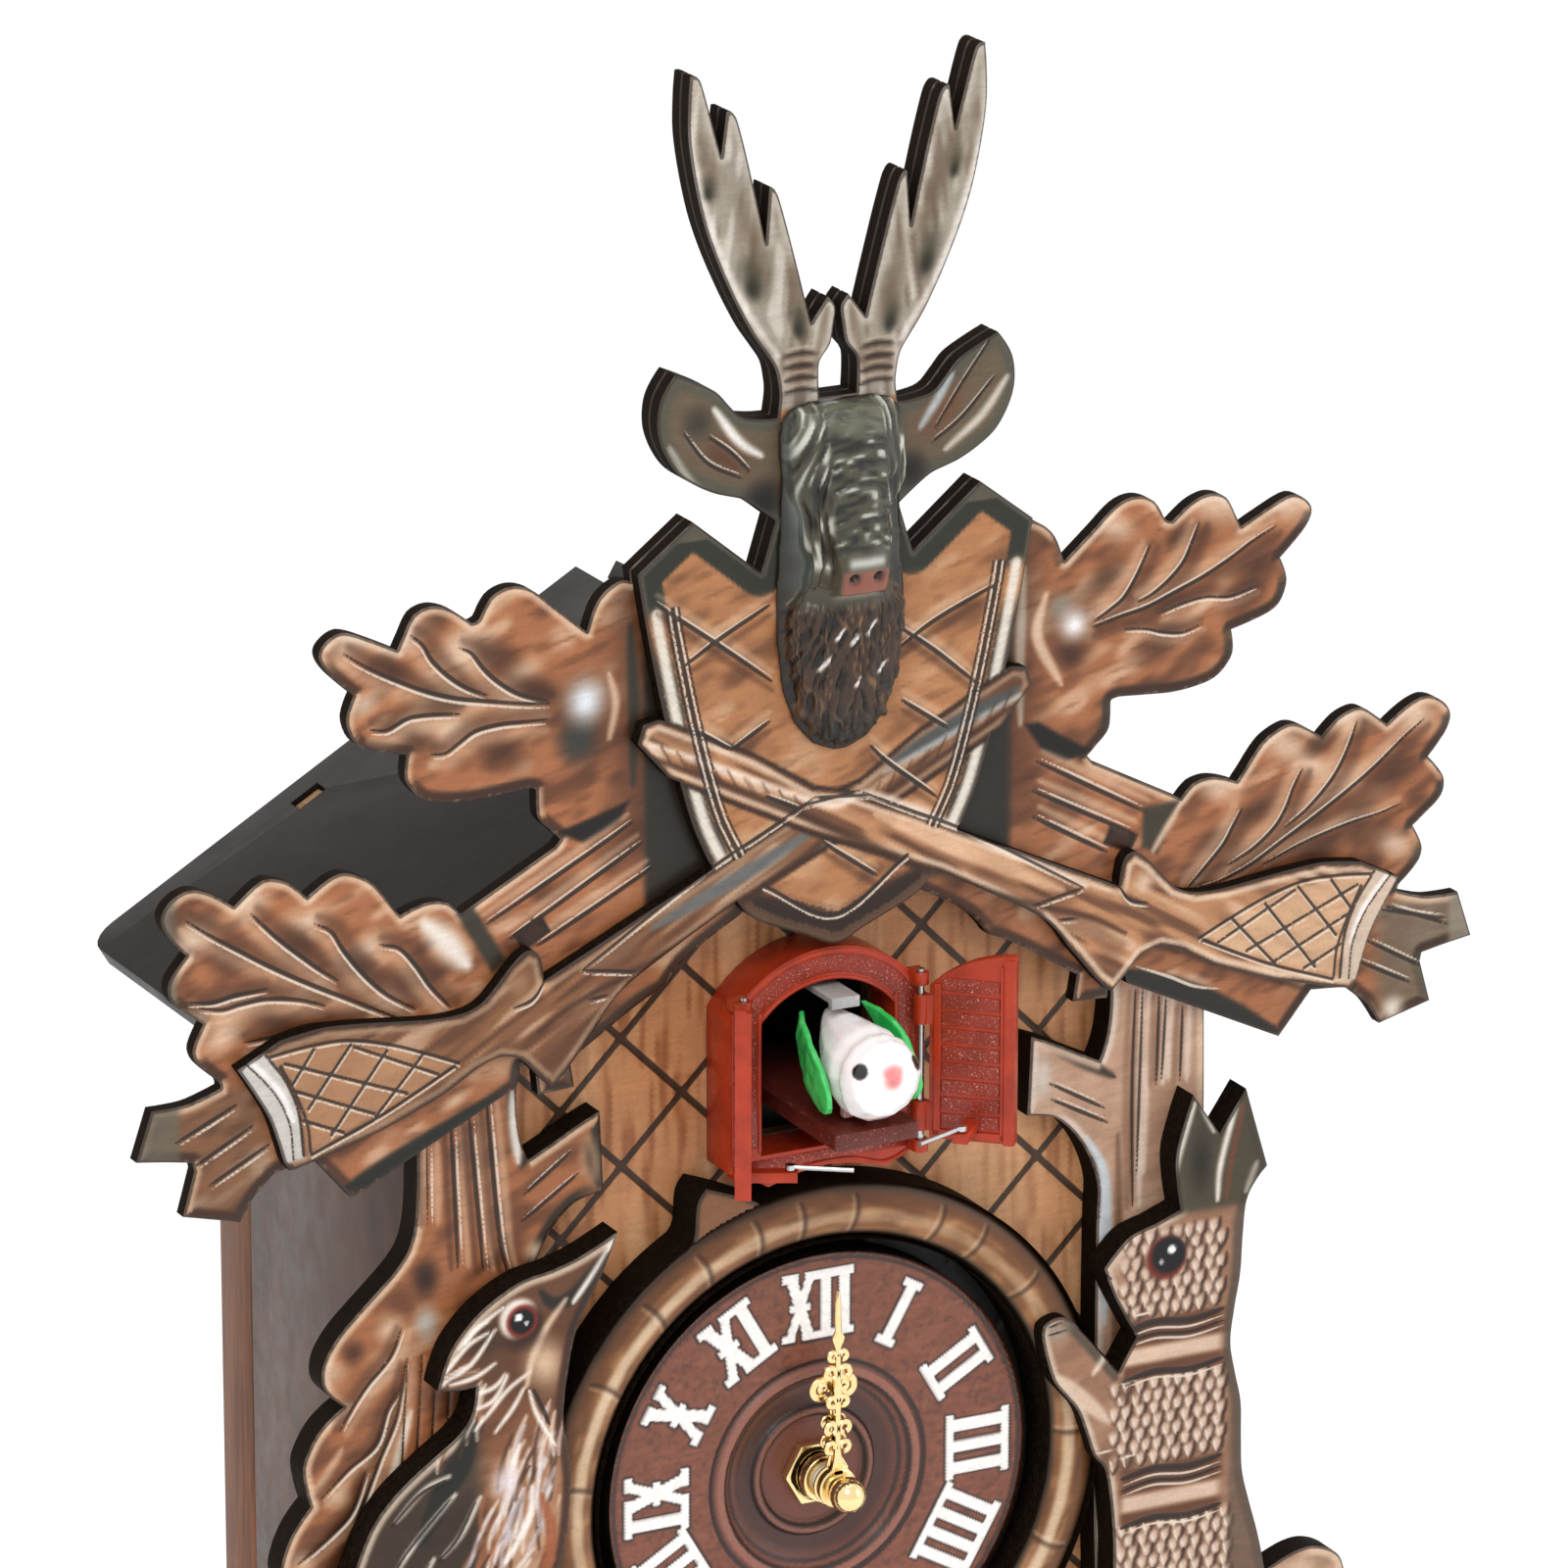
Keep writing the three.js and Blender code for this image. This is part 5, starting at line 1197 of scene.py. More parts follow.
def paint_squirrel(p):
    x, z = p.P[:, 0], p.P[:, 1]
    p.over(0.6, (170, 132, 106))
    p.rim_lit((1, 0.2), 2.2, (96, 84, 72), 0.85)
    p.rim_lit((-1, 0.3), 1.4, (224, 210, 194), 0.7)
    scales(p, 65, 88, 40, 7)
    scales(p, 63, 89, 8.6, 7)
    scales(p, 65, 90, -22, 6)
    scales(p, 68, 94, -44, 7)
    for top in (22, -9.5, -38):
        k = smooth(top + 1, top, z) * smooth(top - 12.5, top - 11.5, z) * smooth(63.5, 66, x) * smooth(89.5, 86, x)
        p.over(k * 0.95, (120, 76, 46))
        c = smooth(top - 4.4, top - 6, z) * smooth(top - 9.5, top - 8, z) * k
        p.over(c * 0.9, (226, 200, 178))
        for zz, w in ((top - 0.8, 1.6), (top - 3.4, 0.8), (top - 11.4, 1.5)):
            c = curve([(65, zz - 0.6), (72, zz + 0.5), (80, zz - 0.4), (88, zz + 0.6)])
            p.dark_line(c, w)
            p.pale_line(c - [0, 0.5 + w / 2], 0.5)
    p.over(0.9 * smooth(42.5, 45, z), (84, 78, 60))
    p.band(pts("75,47 77,56 80.5,67"), 1.2, (226, 220, 208), 0.9)
    p.band(pts("85,60 82,66"), 1.0, (226, 220, 208), 0.8)
    p.blob(82, 54, 3, (52, 46, 34), 0.9, 8)
    p.band(pts("90.7,67.3 86.7,53.3 86,45.3"), 1.3, (236, 228, 218), 0.95)
    p.band(pts("91.7,64.7 89.2,54 88,45.3"), 1.2, (130, 80, 50), 0.9)
    p.band(pts("95,52 92.5,46"), 1.4, (210, 200, 188), 0.7)
    p.band(pts("59.3,32 63,26.5 66.7,21.3 69.3,20"), 1.8, (50, 36, 26), 0.9)
    p.dark_line(pts("59.7,33.7 63,32.4 66,31.7"), 0.8)
    p.blob(63.5, 36, 3.4, (206, 182, 162), 0.8)
    ex, ez = 74.7, 35.3
    p.clear(ex, ez, 5.2)
    p.clear(66, 34, 4.0)
    p.blob(ex, ez, 5.4, (150, 124, 104), 0.9)
    p.blob(ex - 0.2, ez - 0.2, 4.2, (126, 40, 26), 1.0, hard=0.9)
    p.blob(ex + 0.3, ez + 0.3, 3.5, (24, 22, 22), 1.0, hard=0.9)
    p.blob(ex + 1.0, ez + 1.3, 1.0, (244, 244, 246), 1.0, hard=0.6)
    p.blob(ex - 1.3, ez - 1.0, 0.6, (200, 198, 204), 0.9, hard=0.6)
    p.blob(50, 23.5, 3.4, (176, 160, 146), 0.9)
    for text in ("47.8,24.6 51,25.2", "48,23 52,23.4", "64,12 58,20 55,23"):
        p.dark_line(pts(text), 0.6)
    p.band(pts("50,14 56,8 62,2"), 3.2, (226, 204, 184), 0.8)
    p.band(pts("58,13 64,20 67,21"), 1.6, (232, 216, 200), 0.8)
    for cx, cz in ((66, 8), (69, 22), (66, -8), (61, -6)):
        p.blob(cx, cz, 3.0, (120, 84, 60), 0.8)
        p.pale_line([(cx - 2, cz + 1.8), (cx + 2, cz + 2)], 0.6)
    p.over(0.7 * smooth(88.6, 90.5, x) * smooth(44, 40, z), (118, 96, 80))


def paint_bob(p):
    p.rim_lit((-0.6, 0.8), 1.4, CREAM, 0.8)
    p.rim_lit((0.6, -0.8), 1.6, DEEP, 0.8)
    p.vein(pts("0,-119 0.4,-140 0,-171"), 1.0, 1)
    for s in (-1, 1):
        for text in ("0,-134 9,-130 14,-130", "0,-146 10,-144 18,-145", "0,-157 8,-157 14,-159"):
            p.vein(pts(text) * [s, 1], 0.8, s)
        p.blob(14 * s, -136, 4, CREAM, 0.6)
        p.blob(12 * s, -152, 4, BROWN, 0.6)


def paint_bottom(p):
    p.rim_lit((0, -1), 1.8, OLIVE, 0.85)
    p.rim_lit((-0.6, 0.8), 1.4, CREAM, 0.7)
    for s in (-1, 1):
        for text in ("22,-68 40,-76 62,-78 78,-76", "40,-76 50,-86", "56,-78 62,-86", "30,-72 24,-84 20,-88",
                     "4,-72 8,-84 6,-96",
                     "18,-66 30,-84 44,-94", "62,-78 70,-68"):
            p.vein(pts(text) * [s, 1], 0.9, s)
        for cx, cz in ((76, -78), (60, -85), (42, -94), (16, -89), (34, -82)):
            p.blob(cx * s, cz, 4, CREAM, 0.6)
    p.vein(pts("0,-68 0.3,-90 0,-108"), 0.9, 1)


relief_board("gable_board", "gable_carving", paint_gable, CARVED, BURNT, base=(180, 120, 76), mottle=0.75, seed=3)
relief_board("crest_board", "crest_carving", paint_crest, CARVED, BURNT, base=(190, 136, 88), mottle=0.55, seed=9)
relief_board("trunk_left", "left_trunk", paint_trunk_left, CARVED, BURNT, base=(176, 116, 72), mottle=0.6, seed=4)
relief_board("trunk_right", "right_trunk", paint_trunk_right, CARVED, BURNT, base=(180, 132, 96), mottle=0.5, seed=5)
relief_board("clinging_bird", "bird_carving", paint_bird_figure, CARVED, BURNT, grid=0.5, base=(150, 100, 64), seed=6)
relief_board("squirrel", "squirrel_carving", paint_squirrel, CARVED, BURNT, grid=0.5, base=(170, 124, 90), seed=7)
relief_board("bottom_carving", "bottom_leaves", paint_bottom, CARVED, BURNT, grid=0.8, base=(172, 112, 68), seed=8)
relief_board("pendulum_bob", "leaf_bob", paint_bob, CARVED, BURNT, grid=0.6, base=(178, 120, 74), seed=2)


# ------------------------------------------------------------------ front panel with its lattice
def paint_panel(p):
    x, z = p.P[:, 0], p.P[:, 1]
    n = hash_noise(np.stack([x * 1.1, z * 0.12], 1), 1.1, 4)
    m = hash_noise(np.stack([x * 0.5, z * 0.1], 1), 2.6, 8)
    p.over(0.65 * smooth(0.45, 0.9, n), (158, 98, 54))
    p.over(0.5 * smooth(0.5, 0.1, m), (236, 192, 146))
    step = 26.3
    for turn in (1, -1):
        u = (x * turn + z) / math.sqrt(2)
        first = (26.1 * turn + 108.4) / math.sqrt(2)
        pitch = step / math.sqrt(2)
        d = np.abs((u - first + pitch / 2) % pitch - pitch / 2)
        p.dark = np.maximum(p.dark, 0.75 - d)
        p.depth = np.maximum(p.depth, 0.25 * smooth(1.0, 0.4, d))
    # painted shade: the panel is nearly black behind the dial and its ring, so the gap between them reads as shadow
    p.over(0.97 * smooth(58, 54, np.hypot(x, z)), (26, 18, 14))


relief_board("front_panel", "lattice_panel", paint_panel, board_paint("panel_paint", 0.42, 0.5),
             wood_print("panel_edge", srgb(60, 36, 22), srgb(120, 80, 50), (60, 900, 60)), grid=0.8,
             base=(212, 156, 106), mottle=0.0, bevel=0.2)


# ------------------------------------------------------------------ dial
STROKE = {
    "I": ([[(-1.25, 0), (1.25, 0), (1.25, 14), (-1.25, 14)], [(-2.4, 0), (2.4, 0), (2.4, 1.5), (-2.4, 1.5)],
           [(-2.4, 12.5), (2.4, 12.5), (2.4, 14), (-2.4, 14)]], 4.9),
    "V": ([[(-3.9, 14), (-1.2, 14), (1.1, 3.2), (1.1, 0), (-0.7, 0)], [(1.7, 14), (3.8, 14), (1.2, 0), (-0.5,
                                                                                                        0), (-0.4, 2)],
           [(-4.7, 12.5), (-0.2, 12.5), (-0.2, 14), (-4.7, 14)], [(1.4, 12.5), (4.6, 12.5), (4.6, 14), (1.4,
                                                                                                        14)]], 8.4),
    "X": ([[(-3.9, 14), (-1.3, 14), (3.9, 0), (1.3, 0)], [(1.9, 14), (4.0, 14), (-1.9, 0), (-4.0, 0)],
           [(-4.6, 12.5), (-0.6, 12.5), (-0.6, 14), (-4.6, 14)], [(1.4, 12.5), (4.6, 12.5), (4.6, 14), (1.4, 14)],
           [(-4.6, 0), (-1.4, 0), (-1.4, 1.5), (-4.6, 1.5)], [(0.6, 0), (4.6, 0), (4.6, 1.5), (0.6, 1.5)],
           [(-2.6, 6.3), (2.6, 6.3), (2.6, 7.7), (-2.6, 7.7)]], 8.6),
}
NUMERALS = ["XII", "I", "II", "III", "IIII", "V", "VI", "VII", "VIII", "IX", "X", "XI"]


def dial_relief(V, e):
    """How far each point of the dial's face lies behind the front plane, by its distance from the centre."""
    r = np.hypot(V[:, 0], V[:, 1])
    steps = [(0, 3.4), (10.4, 3.4), (10.6, 3.6), (11.2, 3.6), (12, 2.4), (13.2, 2.4), (13.9, 3.6), (16.4, 3.4),
             (19.2, 2.2), (20.6, 0.9), (21.0, 0.4), (22.4, 0.2), (22.9, 0.9), (23.6, 1.2), (24.1, 0.75), (44.4, 0.7),
             (44.8, 1.0), (45.1, 0.7), (45.6, 0.7), (46, 1.0), (46.4, 1.1)]
    return np.interp(r, [a for a, b in steps], [b for a, b in steps])


def paint_dial(p):
    P = p.P
    r = np.hypot(P[:, 0], P[:, 1])
    n = hash_noise(P + 200, 0.75, 3)
    n2 = hash_noise(P + 90, 1.7, 6)
    n3 = hash_noise(np.stack([P[:, 0] * 0.5, P[:, 1] * 2.2], 1) + 60, 1.6, 12)
    p.over(0.55 * smooth(0.5, 0.9, n) * (r > 24), (96, 56, 40))
    p.over(0.45 * smooth(0.5, 0.15, n2) * (r > 24), (174, 112, 86))
    p.over(0.3 * smooth(0.55, 0.9, n3) * (r > 24), (190, 130, 100))
    p.over(0.28, (126, 66, 34))
    p.over(0.9 * (r < 24), (122, 68, 44))
    p.over(0.75 * smooth(20.4, 21, r) * smooth(23.2, 22.5, r), (178, 122, 104))
    p.over(0.6 * smooth(13.5, 14.5, r) * smooth(18.5, 16, r), (74, 40, 30))
    p.over(0.5 * smooth(18, 19.4, r) * smooth(20.8, 20, r), (158, 100, 82))
    p.over(0.6 * smooth(12, 12.4, r) * smooth(13.6, 13.2, r), (168, 112, 94))
    p.over(0.5 * smooth(11.5, 10.5, r), (140, 78, 60))
    for radius, w in ((45.1, 0.3), (46.25, 0.25), (23.7, 0.4), (20.5, 0.3), (18.9, 0.3), (13.6, 0.35), (11.7, 0.35)):
        p.over(0.75 * smooth(w + 0.25, w, np.abs(r - radius)), (52, 28, 20))
    field = np.full(len(P), -3.0)
    for hour, text in enumerate(NUMERALS):
        t = math.radians(30 * hour)
        u = P[:, 0] * math.cos(t) - P[:, 1] * math.sin(t)
        v = P[:, 0] * math.sin(t) + P[:, 1] * math.cos(t) - 28.7
        near = np.where((np.abs(u) < 20) & (v > -3) & (v < 18))[0]
        widths = [STROKE[c][1] for c in text]
        squeeze = 0.86 if len(text) > 3 else (0.84 if text == "XII" else 0.92)
        start = -sum(widths) / 2 * squeeze
        for c, w in zip(text, widths):
            mid = start + w * squeeze / 2
            q = np.stack([(u[near] - mid) / squeeze, v[near]], 1)
            for poly in STROKE[c][0]:
                poly = np.array(poly, float)
                if poly[:, 1].min() > -0.01:
                    field[near] = np.maximum(field[near], area_field(q, poly, 3.0))
            start += w * squeeze
    p.over(smooth(-0.75, -0.45, field), (58, 32, 24))
    p.over(smooth(-0.24, 0.0, field), (246, 240, 236))
    p.depth = -0.3 * smooth(-0.1, 0.25, field)


def dial_paint():
    m = Mat("dial_paint")
    paint = m.attr("paint", "Color")
    a = m.noise(m.place(), 1300, 4, 0.65)
    b = m.noise(m.place((1, 1, 2.4)), 260, 3, 0.55)
    f = m.math("MULTIPLY_ADD", m.math("SUBTRACT", a, 0.5), 0.9, m.math("MULTIPLY_ADD", m.math("SUBTRACT", b,
                                                                                              0.5), 0.4, 1.0))
    v = m.n("ShaderNodeCombineColor")
    for i in range(3):
        m.link(f, v.inputs[i])
    base = m.mix(0.7, paint, m.mix(1.0, paint, v.outputs[0], "MULTIPLY"))
    return m.done(base, m.ramp(b, 0.3, 0.7, 0.38, 0.52), m.bump(a, 0.35, 0.00014), Coat_Weight=0.1,
                  Coat_Roughness=0.3)


def ring_loop(radius, skip=None):
    n = int(2 * math.pi * radius / 0.8)
    a = np.linspace(0, 2 * math.pi, n, endpoint=False)
    if skip:
        a = np.linspace(skip[1] - 2 * math.pi, skip[0], n)
    return np.stack([radius * np.cos(a), radius * np.sin(a)], 1)


relief_board("dial", "dial_face", paint_dial, dial_paint(), burnt_edge("dial_side"), grid=0.42,
                    base=(150, 90, 62), mottle=0.0, bevel=0.0, extra=dial_relief, loops=[ring_loop(46.4),
                                                                                         ring_loop(5.4)])


# ------------------------------------------------------------------ ring round the dial
def ring_front(V, e):
    """Rounded front of the ring, with the little leaf stub at its upper left left flat."""
    r = np.hypot(V[:, 0], V[:, 1])
    t = np.clip((r - 49.9) / 11.8, 0, 1)
    dome = 2.9 * (1 - np.sqrt(np.clip(1 - (2 * t - 1) ** 2, 0, 1)) ** 0.8)
    step = 0.8 * smooth(50.9, 50.3, r)
    return np.where(r < 61.9, np.clip(dome + step, 0, 3.4), 0.0)


def paint_ring(p):
    P = p.P
    r = np.hypot(P[:, 0], P[:, 1])
    a = np.degrees(np.arctan2(P[:, 1], P[:, 0]))
    n = hash_noise(np.stack([r * 1.3, a * 0.35], 1) + 300, 1.6, 3)
    p.over(0.5 * smooth(0.5, 0.9, n), (110, 66, 34))
    p.over(0.35 * smooth(0.45, 0.1, n), (214, 164, 110))
    ringed = r < 62
    p.over(0.92 * smooth(52.2, 50.8, r) * ringed, (54, 46, 32))
    p.over(0.85 * smooth(58.2, 61, r) * ringed, (64, 48, 32))
    p.over(0.7 * smooth(56.6, 58.4, r) * smooth(60.4, 59.4, r) * ringed, (120, 78, 42))
    light = smooth(52.6, 54.2, r) * smooth(56.8, 55.2, r)
    p.over((0.35 + 0.45 * np.cos(np.radians(a - 150)) ** 2) * light * ringed, (232, 210, 182))
    for ang in (105, 95, 83, 63, 52, 118, 132, 150, 172, 195, 215, 240, 262, 285, 310, 335, 0, 20, 36):
        t = math.radians(ang)
        q = [((50.9 + d) * math.cos(t + 0.0035 * (d - 5) ** 2 / 5),
              (50.9 + d) * math.sin(t + 0.0035 * (d - 5) ** 2 / 5))
             for d in np.linspace(0.5, 8.2, 7)]
        p.band(q, 0.9, (60, 38, 22), 0.55, 0.6)
        p.band(offset(q, 0.9), 0.8, (240, 222, 200), 0.3, 0.5)
    p.over(0.9 * smooth(61.6, 62.4, r) * (P[:, 0] < -12) * (P[:, 1] > 49), (150, 106, 70))
    p.rim(0.5, DEEP, 0.7)


def ring_outline():
    a, b = math.atan2(60.2, -14), math.atan2(53.8, -30.2)
    around = ring_loop(61.7, (a, b))
    stub = curve(pts("-30.2,53.8 -28.9,56 -28.3,62.4 -26.4,65.4"), 0.8)
    tail = curve(pts("-26.4,65.4 -20,62.9 -14.2,60.2"), 0.8)
    return np.vstack([around, tail[::-1][1:], stub[::-1][1:-1]])


relief_board("dial_ring", "carved_ring", paint_ring, CARVED, BURNT, grid=0.55, base=(150, 102, 58), mottle=0.25,
             bevel=0.3, extra=ring_front, loops=[ring_outline(), ring_loop(49.9)])


# ------------------------------------------------------------------ stag head
def head_paint():
    m = Mat("stag_resin")
    paint = m.attr("paint", "Color")
    a = m.noise(m.place((400, 400, 90), (0.2, 0, 0)), 1.0, 4, 0.6, 0.6)
    b = m.noise(m.place(), 420, 3, 0.6)
    f = m.math("MULTIPLY_ADD", m.math("SUBTRACT", a, 0.5), 0.5, 1.0)
    v = m.n("ShaderNodeCombineColor")
    for i in range(3):
        m.link(f, v.inputs[i])
    base = m.mix(1.0, paint, v.outputs[0], "MULTIPLY")
    return m.done(base, m.attr("gloss"), m.bump(b, 0.25, 0.0002), Coat_Weight=0.15, Coat_Roughness=0.1,
                  Specular_IOR_Level=0.35)


def make_head():
    ob = remeshed("stag_head", 0.42, "stag_head_form")
    co, no = arrays(ob)
    x, y, z = co.T
    a = np.abs(x)
    back = smooth(-7.9, -9.2, y)
    inward = 2.8 * smooth(4.5, 10, a) * smooth(207, 200, z) * smooth(181, 187, z)
    inward += 1.5 * np.exp(-((a - 8.6) ** 2) / 3.5 - ((z - 206) ** 2) / 7)
    inward -= 0.5 * np.exp(-((a - 8.4) ** 2) / 6 - ((z - 209.6) ** 2) / 2.5)
    inward += 1.6 * np.exp(-((z - 184.4) ** 2) / 2.0)
    inward += 1.8 * smooth(4.6, 7.0, a) * smooth(196, 191, z) * smooth(184.5, 187, z)
    nostril = np.exp(-((a - 2.6) ** 2) / 0.8 - ((z - 189.6) ** 2) / 0.7)
    inward += 1.5 * nostril
    wave = z * 1.0 + 0.03 * x**2
    ridge = hash_noise(np.stack([x * 0.42 + 40, wave * 1.15], 1), 1.0, 2)
    fur = hash_noise(np.stack([x * 1.5 + 0.35 * z * np.sign(x) + 3.0 * np.sin(z * 0.16), z * 0.22 + 90], 1), 1.0, 5)
    fur2 = hash_noise(np.stack([x * 2.2 + z * 0.4 + 2 * np.sin(x), z * 0.3 - a * 0.3 + 40], 1), 1.0, 9)
    mane = smooth(184.5, 181.5, z)
    brow = smooth(193, 197, z) * smooth(7.5, 5.5, a)
    cheek = smooth(188, 192, z) * smooth(5.5, 7.0, a)
    inward += brow * 0.7 * ridge + cheek * 1.0 * fur + mane * (1.3 * fur + 0.9 * fur2)
    reshape(ob, co - no * (np.maximum(inward, 0) * back)[:, None], "stag_head")
    c = np.tile(np.array([66, 62, 48], float), (len(co), 1))

    def over(k, color):
        nonlocal c
        k = np.clip(k, 0, 1)[:, None]
        c = c * (1 - k) + np.array(color, float) * k
    over(0.85 * smooth(0.45, 0.8, ridge) * brow, (20, 20, 16))
    over(0.8 * smooth(0.3, 0.06, ridge) * brow * smooth(219, 215, z), (196, 200, 194))
    over(0.5 * smooth(215, 219, z), (110, 112, 96))
    over(0.9 * smooth(0.42, 0.14, fur) * cheek, (196, 196, 186))
    over(0.85 * smooth(0.5, 0.85, fur) * cheek, (30, 26, 20))
    over(0.8 * smooth(11.6, 12.8, a) * (z > 186), (74, 80, 76))
    over(0.95 * np.exp(-((a - 8.6) ** 2) / 2.2 - ((z - 206.4) ** 2) / 2.6), (12, 10, 10))
    over(0.95 * mane, (56, 36, 22))
    over(0.9 * mane * smooth(0.5, 0.8, fur), (16, 12, 10))
    over(0.7 * mane * smooth(0.35, 0.08, fur2), (134, 98, 66))
    over(0.8 * smooth(164, 154, z), (22, 24, 20))
    nose = smooth(5.4, 4.4, a) * smooth(185.6, 186.6, z) * smooth(191.8, 190.6, z)
    over(0.92 * nose, (136, 76, 58))
    over(0.95 * np.clip(1.6 * nostril, 0, 1), (20, 12, 10))
    over(0.8 * np.exp(-((z - 192.8) ** 2) / 1.2) * smooth(4.6, 3, a), (206, 206, 200))
    over(0.8 * np.exp(-((z - 185.0) ** 2) / 0.5) * smooth(6, 4, a), (190, 182, 168))
    for gx, gz, t in ((-4, 178, 0.8), (-1, 176.6, 0.7), (3, 178.6, 0.9), (-7, 172, 1.0), (6, 170, 0.8), (0,
                                                                                                         168, 0.6)):
        d = np.abs((x - gx) * 0.8 - (z - gz) * 0.6)
        e = np.abs((x - gx) * 0.6 + (z - gz) * 0.8)
        over(0.9 * smooth(0.5, 0.2, d) * smooth(2.6 * t, 1.2 * t, e), (232, 230, 224))
    over(0.9 * (1 - back), (26, 20, 15))
    colour_points(ob, c)
    gloss = 0.2 + 0.22 * mane + 0.1 * fur
    ob.data.attributes.new("gloss", "FLOAT", "POINT").data.foreach_set("value", gloss.astype(np.float32))
    ob.data.materials.append(head_paint())
    stands_for(ob, "stag_head")


make_head()

# ------------------------------------------------------------------ hands and metal
BRASS = moulded("brass", (0.90, 0.68, 0.34), 0.22, 0.3, 0.06, (0.98, 0.82, 0.52), 700, 1.0)
POLISHED = moulded("polished_brass", (0.93, 0.72, 0.36), 0.12, 0.25, 0.03, (1.0, 0.86, 0.56), 700, 1.0)
STEEL = moulded("steel", (0.56, 0.56, 0.57), 0.28, 0.4, 0.1, (0.75, 0.75, 0.76), 900, 1.0)


def flat_strip(points, widths, y0, y1):
    """Vertices and faces of a bar with a slightly rounded front, its width varying along it."""
    c = np.asarray(points, float)
    w = np.asarray(widths, float)
    prof = [(-0.5, y1), (-0.5, y0 + 0.2), (-0.3, y0), (0.3, y0), (0.5, y0 + 0.2), (0.5, y1)]
    t = np.gradient(c, axis=0)
    t /= np.maximum(np.linalg.norm(t, axis=1, keepdims=True), 1e-9)
    n = np.stack([-t[:, 1], t[:, 0]], 1)
    rings = [np.stack([(c + n * (o * w)[:, None])[:, 0], np.full(len(c), y), (c + n * (o * w)[:, None])[:, 1]], 1)
             for o, y in prof]
    k, m = len(c), len(prof)
    faces = [(j * k + i, j * k + i + 1, ((j + 1) % m) * k + i + 1, ((j + 1) % m) * k + i)
             for j in range(m) for i in range(k - 1)]
    faces += [tuple(j * k for j in range(m)), tuple(j * k + k - 1 for j in range(m))[::-1]]
    return np.vstack(rings), faces


SPINE_GAIN, SCROLL_GAIN = 1.25, 1.45


def scroll_hand(node, y0, spine, curls, hub):
    """A pierced clock hand: a tapering spine, pairs of open scrolls and a hub ring."""
    verts, faces, count = [], [], 0
    parts = []
    z = np.linspace(spine[0][0], spine[-1][0], 80)
    parts.append((np.stack([0 * z, z], 1), SPINE_GAIN * np.interp(z, [a for a, b in spine], [b for a, b in spine])))
    for x, cz, r, start, sweep, width in curls:
        for side in (-1, 1):
            t = np.radians(np.linspace(start, start + sweep, 40))
            rr = r * np.linspace(1.0, 0.82, 40)
            scroll = np.stack([side * (x + rr * np.cos(t)), cz + rr * np.sin(t)], 1)
            parts.append((scroll, np.full(40, SCROLL_GAIN * width)))
    t = np.radians(np.linspace(0, 360, 60))
    parts.append((np.stack([hub * np.cos(t), hub * np.sin(t)], 1), np.full(60, 1.9)))
    for line, width in parts:
        v, f = flat_strip(line, width, y0, y0 + 0.7)
        verts.append(v)
        faces += [tuple(i + count for i in q) for q in f]
        count += len(v)
    ob = mesh_object(node + "_scrolled", np.vstack(verts), faces, BRASS, False)
    stands_for(ob, node)


scroll_hand("minute_hand", -8.6, [(2.9, 2.6), (6, 1.4), (9, 0.9), (16, 0.9), (21, 1.5), (23, 0.9), (29, 0.8),
                                  (31.5, 2.2),
                                  (33, 1.0), (39, 0.8), (41.4, 0.2)],
            [(1.45, 8.6, 1.1, -100, 300, 0.75), (1.5, 12.6, 1.2, 250, -320, 0.8), (1.2, 18.2, 1.0, -120, 300, 0.75),
             (1.55, 24.2, 1.25, 250, -320, 0.8), (1.1, 27.8, 0.9, -110, 290, 0.7)], 3.1)
scroll_hand("hour_hand", -6.6, [(3.2, 2.8), (6, 1.6), (12, 1.0), (17, 1.4), (20, 1.0), (24, 1.8), (27.4, 0.2)],
            [(1.2, 9.4, 1.2, -110, 300, 0.8), (1.4, 13.4, 1.0, 250, -300, 0.8), (2.7, 20.4, 2.1, 200, -330, 1.0),
             (2.2, 20.6, 0.9, 200, -330, 0.8), (1.0, 23.6, 0.9, -100, 270, 0.8)], 3.3)
for node in ("dial_nut", "centre_bush", "hand_nut"):
    softened(node, POLISHED, 0.3 if node != "hand_nut" else 0.1, 3)
NODES["pendulum_rod"].data.materials.clear()
NODES["pendulum_rod"].data.materials.append(BRASS)


# ------------------------------------------------------------------ bird doors
def door_plastic(name, color, specks, rough=0.3, low=0.62, high=0.78):
    m = Mat(name)
    p = m.place()
    a = m.noise(p, 2600, 2, 0.7)
    b = m.noise(p, 160, 3, 0.5)
    base = m.mix(m.ramp(b, 0.35, 0.7), color, tuple(0.72 * v for v in color))
    base = m.mix(m.math("MULTIPLY", m.ramp(a, low, high), specks), base, (0.90, 0.55, 0.42))
    return m.done(base, m.ramp(b, 0.3, 0.7, rough - 0.05, rough + 0.08), m.bump(a, 0.35, 0.00012),
                  Coat_Weight=0.12, Coat_Roughness=0.1, Specular_IOR_Level=0.3)


DOOR = door_plastic("door_orange", srgb(172, 50, 20), 0.12)
DOOR_IN = door_plastic("door_grained", srgb(140, 42, 24), 0.7, 0.36, 0.58, 0.74)
PLATFORM = door_plastic("platform_red", srgb(92, 32, 24), 0.5, 0.4, 0.6, 0.8)


